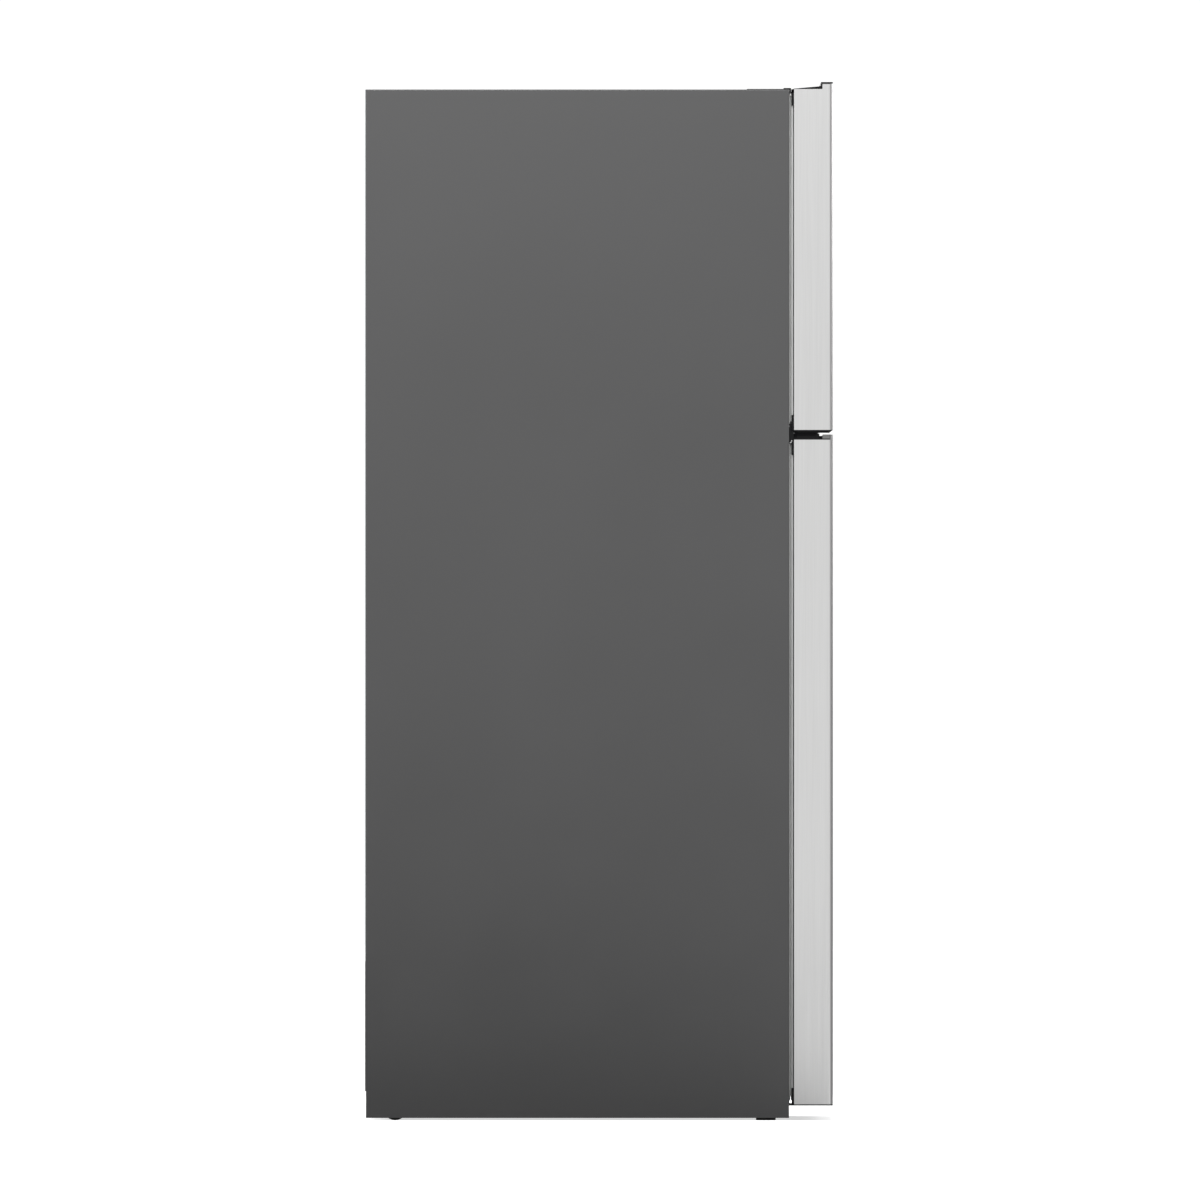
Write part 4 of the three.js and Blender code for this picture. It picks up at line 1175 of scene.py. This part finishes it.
@dataclass
class Cabinet:
    """The painted cabinet with its back, base and hinges."""

    edge: float = 0.0004
    roll: float = 0.0026
    margin: float = 0.028
    groove: float = 0.016
    slope: float = 0.0025
    swage: float = 0.0008
    ribs: int = 4

    def build(self) -> None:
        """Dress the cabinet's outside."""
        dress(CABINET_PAINT, self.edge, "cabinet_wrapper", "mullion_plate")
        dress(CORE, self.edge, "insulation_foam")
        dress(ZINC, self.edge, "base_pan")
        dress(ZINC, 0.0, "machine_cover")
        dress(HINGE_PAINT, 0.0006, "top_hinge", "centre_hinge", "bottom_hinge")
        dress(BLACK_TRIM, 0.0008, "top_hinge_cover", "corner_cap")
        dress(TREAD, 0.0006, "leg_left", "leg_right", "roller_left", "roller_right")
        dress(WHITE_TRIM, 0.0004, "freezer_switch", "fridge_switch")
        node = "cabinet_wrapper"
        low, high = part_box(node)
        for label, x in (("left", low.x), ("right", high.x)):
            roll(
                node, f"front_{label}", self.roll,
                lambda co, x=x: abs(co.x - x) < NEAR and co.y < low.y + NEAR,
            )
            roll(
                node, f"top_{label}", self.roll,
                lambda co, x=x: abs(co.x - x) < NEAR and co.z > high.z - NEAR,
            )
        self.back()
        self.screws()

    def back(self) -> None:
        """Press the back panel with shallow upright swages and fix it round its edge."""
        low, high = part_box("back_panel")
        face, sunk, rear = high.y, high.y - self.swage, low.y - 0.0002
        margin, slope, half = self.margin, self.slope, self.groove / 2
        outline = [(low.x, rear), (low.x, face), (low.x + margin, face), (low.x + margin + slope, sunk)]
        pitch = (high.x - low.x - 2 * margin) / (self.ribs + 1)
        for i in range(self.ribs):
            x = low.x + margin + pitch * (i + 1)
            outline += [(x - half - slope, sunk), (x - half, face)]
            outline += [(x + half, face), (x + half + slope, sunk)]
        outline += [(high.x - margin - slope, sunk), (high.x - margin, face), (high.x, face), (high.x, rear)]
        panel = Blank("back_panel_swaged").prism(outline[::-1], Axis.Z, low.z, high.z)
        panel.fit("cabinet", ZINC, ["back_panel"], crease=12)
        left, right = low.x + 0.045, high.x - 0.045
        spots = [(x, sunk, z) for x in (left, -0.1, 0.1, right) for z in (low.z + 0.02, high.z - 0.02)]
        spots += [(x, sunk, z) for x in (left, right) for z in (0.6, 0.95, 1.3)]
        Screws(0.0045, 0.0008).drive("back_panel_screws", "cabinet", spots, Axis.Y, 1.0)

    def screws(self) -> None:
        """Drive the hinge and cover screws."""
        low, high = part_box("top_hinge_cover")
        spot = ((low.x + high.x) / 2, high.y - 0.018, high.z + 0.0001)
        sunken = Screws(0.0036, -0.0004)
        sunken.drive("hinge_cover_screw", "cabinet", [spot], Axis.Z, 1.0, HINGE_STEEL)
        for name, levels in (("centre_hinge", (0.006, 0.026)), ("bottom_hinge", (0.012,))):
            low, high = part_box(name)
            sides = (low.x + 0.007, high.x - 0.007)
            spots = [(x, high.y - 0.003, low.z + up) for x in sides for up in levels]
            Screws(0.0034, 0.0012).drive(f"{name}_screws", "cabinet", spots, Axis.Y, -1.0, HINGE_STEEL)


@dataclass
class Door:
    """One door: stainless skin, black end caps, core, liner, seal and bins."""

    name: str
    bins: tuple[str, ...]
    steel: BrushedSheet

    def build(self) -> None:
        """Dress the door and fit its seal."""
        body = f"{self.name}_door"
        dress(self.steel, 0.0003, f"{body}_skin")
        dress(BLACK_TRIM, 0.0003, f"{body}_top_cap", f"{body}_bottom_cap")
        dress(CORE, 0.0, f"{body}_foam")
        dress(WHITE_LINER, 0.0015, f"{body}_liner")
        dress(CLEAR, 0.0006, *self.bins)
        DoorSeal(f"{self.name}_gasket", body).build()
        for name in self.bins:
            if name != "dairy_bin":
                BinRim(name, body).build()
        self.screws(body)

    def screws(self, body: str) -> None:
        """Drive the screws that hold the liner.

        Args:
            body: The body they move with.
        """
        low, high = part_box(f"{body}_liner")
        sides = (low.x + 0.006, high.x - 0.006)
        span = high.z - low.z - 0.024
        levels = [low.z + 0.012 + share * span for share in (0.06, 0.35, 0.65, 0.94)]
        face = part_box(f"{self.name}_gasket")[0].y + 0.0009
        spots = [(x, face, z) for x in sides for z in levels]
        Screws(0.003, 0.001).drive(f"{self.name}_liner_screws", body, spots, Axis.Y, 1.0)


@dataclass
class MachineRoom:
    """The compressor compartment at the back."""

    edge: float = 0.0004
    wire_pitch: float = 0.0085
    wire: float = 0.0007
    slots: int = 7
    border: float = 0.02
    gap_share: float = 0.14
    slot_share: float = 0.72
    slot_levels: tuple[float, ...] = (0.098, 0.118, 0.176, 0.196, 0.216)

    def build(self) -> None:
        """Dress the compartment's pieces."""
        dress(ENAMEL, self.edge, "compressor")
        dress(COPPER, self.edge, "condenser_coil")
        dress(ZINC, self.edge, "fan_bracket")
        dress(BLACK_TRIM, self.edge, "drain_pan", "relay_cover", "condenser_fan")
        self.pipes()
        self.fins()
        self.louvres()

    def pipes(self) -> None:
        """Run the suction and discharge pipes from the compressor."""
        low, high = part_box("compressor")
        x, y, top = (low.x + high.x) / 2, (low.y + high.y) / 2, high.z
        near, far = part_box("condenser_coil")
        discharge = bend(
            [
                (x - 0.03, y + 0.03, top - 0.008),
                (x - 0.03, y + 0.03, top + 0.01),
                (x - 0.09, y + 0.02, top + 0.012),
                (x - 0.16, y - 0.03, top + 0.01),
                (0.0, near.y - 0.004, top + 0.002),
                (far.x + 0.012, near.y + 0.006, far.z - 0.012),
            ]
        )
        suction = bend(
            [
                (x - 0.03, y - 0.026, top - 0.008),
                (x - 0.03, y - 0.026, top + 0.014),
                (x + 0.02, y - 0.05, top + 0.02),
                (x + 0.08, y - 0.075, top + 0.018),
                (x + 0.09, y - 0.085, top + 0.026),
            ]
        )
        pipes = Blank("compressor_pipes").tube(discharge, 0.0032).tube(suction, 0.004)
        pipes.fit("cabinet", COPPER, crease=60)

    def fins(self) -> None:
        """Thread the condenser's wires across its tubes."""
        low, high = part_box("condenser_coil")
        middle = (low.y + high.y) / 2
        blank = Blank("condenser_wires")
        for y in (middle - 0.0036, middle + 0.0036):
            ends = [Vector((low.x + 0.012, y, z)) for z in (low.z + 0.02, high.z - 0.004)]
            blank.tube(ends, self.wire, 6)
        count = int((high.x - low.x - 0.024) / self.wire_pitch)
        blank.copies(Vector((self.wire_pitch, 0.0, 0.0)), count)
        blank.fit("cabinet", ENAMEL)

    def louvres(self) -> None:
        """Turn a lip inwards along the top of each slot of the rear cover."""
        low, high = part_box("machine_cover")
        pitch = (high.x - low.x - 2 * self.border) / self.slots
        start = low.x + self.border + self.gap_share * pitch
        blank = Blank("rear_cover_louvres")
        for z in self.slot_levels:
            lip = [
                (high.y - 0.0006, z + 0.007), (high.y - 0.0005, z + 0.0064),
                (high.y - 0.006, z + 0.0025), (high.y - 0.0065, z + 0.003),
            ]
            blank.prism(lip, Axis.X, start, start + self.slot_share * pitch)
        blank.copies(Vector((pitch, 0.0, 0.0)), self.slots).fit("cabinet", ZINC)


@dataclass
class FreezerRoom:
    """The freezer compartment."""

    fin_pitch: float = 0.0085
    fin: float = 0.0004

    def build(self) -> None:
        """Dress the compartment's pieces."""
        dress(WHITE_LINER, 0.0006, "freezer_liner")
        dress(WHITE_TRIM, 0.0006, "evaporator_cover", "ice_frame")
        dress(ICE_BLUE, 0.0004, "ice_trays")
        dress(CLEAR, 0.0004, "ice_bin")
        dress(BLACK_TRIM, 0.0003, "evaporator_fan")
        dress(ALUMINIUM, 0.0003, "evaporator_coil")
        GlassShelf("freezer_shelf", lip=0.0).build()
        low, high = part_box("evaporator_cover")
        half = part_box("freezer_shelf")[1].x + 0.002
        Coves("freezer", "freezer_liner", half, low.z - 0.001, high.z + 0.001).build()
        self.fins()
        sides, levels = (low.x + 0.03, high.x - 0.03), (low.z + 0.045, high.z - 0.045)
        spots = [(x, low.y, z) for x in sides for z in levels]
        Screws(0.0045, 0.0018).drive("evaporator_cover_screws", "cabinet", spots, Axis.Y, -1.0)

    def fins(self) -> None:
        """Stack the evaporator's fins along its tubes."""
        low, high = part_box("evaporator_coil")
        blank, x = Blank("evaporator_fins"), low.x + 0.02
        blank.block((x, low.y + 0.003, low.z + 0.004), (x + self.fin, high.y - 0.004, high.z - 0.004))
        count = int((high.x - low.x - 0.04) / self.fin_pitch)
        blank.copies(Vector((self.fin_pitch, 0.0, 0.0)), count).fit("cabinet", ALUMINIUM)


@dataclass
class FreshFoodRoom:
    """The fresh-food compartment."""

    shelves: tuple[str, ...] = ("fridge_shelf_1", "fridge_shelf_2", "fridge_shelf_3", "crisper_cover")
    dot_ring: float = 0.0235
    dot_turn: float = 13.0
    slider_at: float = 0.148
    chip_pitch: float = 0.018
    chips: int = 6

    def build(self) -> None:
        """Dress the compartment's pieces."""
        dress(WHITE_LINER, 0.0006, "fridge_liner")
        dress(WHITE_TRIM, 0.0006, "air_duct", "control_housing")
        dress(CLEAR, 0.0006, "crisper_left", "crisper_right", "dairy_lid")
        dress(DIAL_GREY, 0.0005, "temperature_dial")
        dress(LENS, 0.0005, "light_lens")
        for node in self.shelves:
            GlassShelf(node).build()
        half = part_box("crisper_cover")[1].x + 0.002
        floor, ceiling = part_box("crisper_left")[0].z - 0.0008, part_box("control_housing")[1].z + 0.0003
        Coves("fridge", "fridge_liner", half, floor, ceiling).build()
        self.dial_mark()
        self.sliders()
        self.lamps()

    def dial_mark(self) -> None:
        """Inlay the dial's pointer and stand dots round it."""
        low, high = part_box("temperature_dial")
        x, z = (low.x + high.x) / 2, (low.z + high.z) / 2
        mark = Blank("dial_pointer")
        mark.block((x - 0.0008, low.y - 0.0002, z + 0.004), (x + 0.0008, low.y + 0.001, z + 0.0135), 0.0003)
        mark.fit("temperature_dial", WHITE_TRIM)
        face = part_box("control_housing")[0].y
        dots = Blank("dial_dots")
        for step in range(-4, 5):
            angle = math.radians(90 + self.dot_turn * step)
            size = 0.0008 + 0.0001 * step
            for side in (-1, 1):
                across, up = side * self.dot_ring * math.sin(angle), self.dot_ring * math.cos(angle)
                spot = Vector((x + across, face, z + up))
                dots.turned([(size, 0.0), (size * 0.7, -0.0005), (0.0, -0.0006)], spot, Axis.Y, 12)
        dots.fit("cabinet", DIAL_GREY)

    def sliders(self) -> None:
        """Put a humidity slider on the trim above each crisper."""
        _, y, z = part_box("crisper_cover")[0]
        for label, x in (("left", -self.slider_at), ("right", self.slider_at)):
            groove = Blank(f"humidity_slot_{label}")
            groove.block((x - 0.036, y - 0.0004, z + 0.0045), (x + 0.036, y + 0.001, z + 0.0085), 0.0004)
            groove.fit("cabinet", DIAL_GREY)
            knob = Blank(f"humidity_slider_{label}")
            knob.block((x + 0.006, y - 0.0028, z + 0.0025), (x + 0.022, y + 0.0005, z + 0.0105), 0.0009)
            knob.fit("cabinet", WHITE_TRIM)

    def lamps(self) -> None:
        """Fit the small light board behind the lens."""
        low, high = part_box("light_lens")
        x, y, top = low.x, low.y, high.z
        far = (high.x - 0.012, high.y - 0.03, top - 0.0006)
        board = Blank("light_board")
        board.block((x + 0.012, y + 0.03, top - 0.0022), far, 0.0003)
        board.fit("cabinet", WHITE_TRIM)
        chips = Blank("light_chips")
        chips.block((x + 0.018, y + 0.041, top - 0.0036), (x + 0.023, y + 0.046, top - 0.002), 0.0004)
        chips.copies(Vector((self.chip_pitch, 0.0, 0.0)), self.chips).fit("cabinet", SCREW_ZINC)


# ---------------------------------------------------------------- studio


@dataclass
class Studio:
    """A pale floor, a white surround, soft lamps and the camera."""

    distance: float = 80.0
    across: float = 1.9414
    aim: Point = (0.0, -0.0016, 0.842)
    side: float = -0.355
    sensor: float = 36.0
    floor_radius: float = 40.0
    flag_reach: float = 0.95
    flag_height: float = 0.28
    flag_start: float = -0.3785
    flag_end: float = 1.6
    flag_level: float = -0.002
    ahead: float = 0.42
    abeam: float = 1.56

    def camera(self) -> None:
        """Set the camera level with the middle of the left side, far away on a long lens."""
        data = bpy.data.cameras.new("view")
        data.sensor_width = self.sensor
        data.lens = self.sensor * self.distance / self.across
        data.clip_start, data.clip_end = 1.0, 400.0
        camera = stand("view", data)
        camera.location = (self.side - self.distance, self.aim[1], self.aim[2])
        camera.rotation_euler = (math.pi / 2, 0.0, -math.pi / 2)
        bpy.context.scene.camera = camera

    def floor(self) -> None:
        """Lay the pale floor."""
        bench = Bench("studio_floor")
        bench.set(Roughness=0.9, Specular_IOR_Level=0.1)
        bench.set(Emission_Color=(1.0, 1.0, 1.0), Emission_Strength=0.6)
        bench.feed("Base Color", bench.blend(bench.noise(0.8, 2.0), (0.9, 0.9, 0.9), (0.92, 0.92, 0.92)))
        work = bmesh.new()
        bmesh.ops.create_circle(work, cap_ends=True, radius=self.floor_radius, segments=96)
        floor = cast("studio_floor", work, bench.material)
        floor.visible_diffuse = False
        floor.visible_glossy = False

    def surround(self) -> None:
        """Light the scene from a sky that is brighter above, and show plain white behind it."""
        world = bpy.data.worlds.new("surround")
        world.use_nodes = True
        tree = world.node_tree
        tree.nodes.clear()
        out = tree.nodes.new("ShaderNodeOutputWorld")
        pick = tree.nodes.new("ShaderNodeMixShader")
        path = tree.nodes.new("ShaderNodeLightPath")
        white = tree.nodes.new("ShaderNodeBackground")
        white.inputs["Color"].default_value = (1.0, 1.0, 1.0, 1.0)
        white.inputs["Strength"].default_value = 1.05
        sky = tree.nodes.new("ShaderNodeBackground")
        place = tree.nodes.new("ShaderNodeTexCoord")
        split = tree.nodes.new("ShaderNodeSeparateXYZ")
        ramp = tree.nodes.new("ShaderNodeMapRange")
        for name, number in (("From Min", -0.9), ("From Max", 0.1), ("To Min", 0.45), ("To Max", 1.0)):
            ramp.inputs[name].default_value = number
        turn = tree.nodes.new("ShaderNodeMapRange")
        limits = {"From Min": -0.93, "From Max": -0.45, "To Min": self.abeam, "To Max": self.ahead}
        for name, number in limits.items():
            turn.inputs[name].default_value = number
        product = tree.nodes.new("ShaderNodeMath")
        product.operation = "MULTIPLY"
        link = tree.links.new
        link(place.outputs["Generated"], split.inputs[0])
        link(split.outputs["Z"], ramp.inputs["Value"])
        link(split.outputs["X"], turn.inputs["Value"])
        link(ramp.outputs["Result"], product.inputs[0])
        link(turn.outputs["Result"], product.inputs[1])
        link(product.outputs[0], sky.inputs["Strength"])
        link(path.outputs["Is Camera Ray"], pick.inputs[0])
        link(sky.outputs[0], pick.inputs[1])
        link(white.outputs[0], pick.inputs[2])
        link(pick.outputs[0], out.inputs["Surface"])
        bpy.context.scene.world = world

    def flag(self) -> None:
        """Set a black flag low beside the left foot, out of the picture, to darken the lower side."""
        bench = Bench("studio_flag")
        bench.set(Roughness=1.0, Specular_IOR_Level=0.0)
        bench.feed("Base Color", bench.blend(bench.noise(4.0, 2.0), (0.01, 0.01, 0.01), (0.02, 0.02, 0.02)))
        start, end = self.flag_start, self.flag_end
        near = (self.side + 0.1, self.flag_level)
        far = (self.side - self.flag_reach, self.flag_level)
        upright = (far[0], self.flag_height)
        for name, first, second in (("lying", near, far), ("standing", far, upright)):
            work = bmesh.new()
            rows = ((first, start), (first, end), (second, end), (second, start))
            work.faces.new([work.verts.new((x, y, z)) for (x, z), y in rows])
            flag = cast(f"studio_flag_{name}", work, bench.material)
            flag.visible_camera = False
            flag.visible_shadow = False
            flag.visible_glossy = name == "lying"

    def overhead(self, power: float) -> None:
        """Light the floor evenly from straight above.

        Args:
            power: Its strength.
        """
        data = bpy.data.lights.new("overhead", "SUN")
        data.energy = power
        data.angle = 0.2
        stand("overhead", data).location = (0.0, 0.0, 6.0)

    def lamp(self, name: str, place: Point, target: Point, size: Flat, power: float) -> None:
        """Hang a soft lamp.

        Args:
            name: Its name.
            place: Where it hangs.
            target: What it points at.
            size: Width and height of its panel.
            power: Its power in watts.
        """
        data = bpy.data.lights.new(name, "AREA")
        data.shape = "RECTANGLE"
        data.size, data.size_y = size
        data.energy = power
        lamp = stand(name, data)
        lamp.location = place
        lamp.rotation_euler = (Vector(target) - Vector(place)).to_track_quat("-Z", "Y").to_euler()
        lamp.visible_camera = False

    def build(self) -> None:
        """Set up the whole studio."""
        self.camera()
        self.floor()
        self.surround()
        self.flag()
        self.overhead(1.0)
        self.lamp("side_lamp", (-1.3, 0.2, 2.5), (-0.355, 0.0, 1.7), (2.0, 0.6), 12.0)
        self.lamp("front_lamp", (1.2, -3.6, 2.4), (0.0, -0.38, 1.0), (2.0, 2.0), 60.0)
        self.lamp("back_lamp", (-1.4, 3.6, 2.4), (0.0, 0.38, 1.0), (2.0, 2.0), 60.0)
        self.lamp("right_lamp", (3.4, 1.2, 2.2), (0.355, 0.2, 0.9), (2.0, 2.0), 70.0)
        bpy.context.scene.view_settings.view_transform = "Standard"


def main() -> None:
    """Build every part of the refrigerator in order."""
    logging.basicConfig(level=logging.INFO, format="%(message)s")
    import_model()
    Studio().build()
    Cabinet().build()
    MachineRoom().build()
    FreezerRoom().build()
    FreshFoodRoom().build()
    Door("freezer", ("freezer_bin_lower", "freezer_bin_upper"), FREEZER_STEEL).build()
    Door("fridge", ("fridge_bin_lower", "fridge_bin_middle", "dairy_bin"), FRIDGE_STEEL).build()
    SlitTrims().build()


if __name__ == "__main__":
    main()
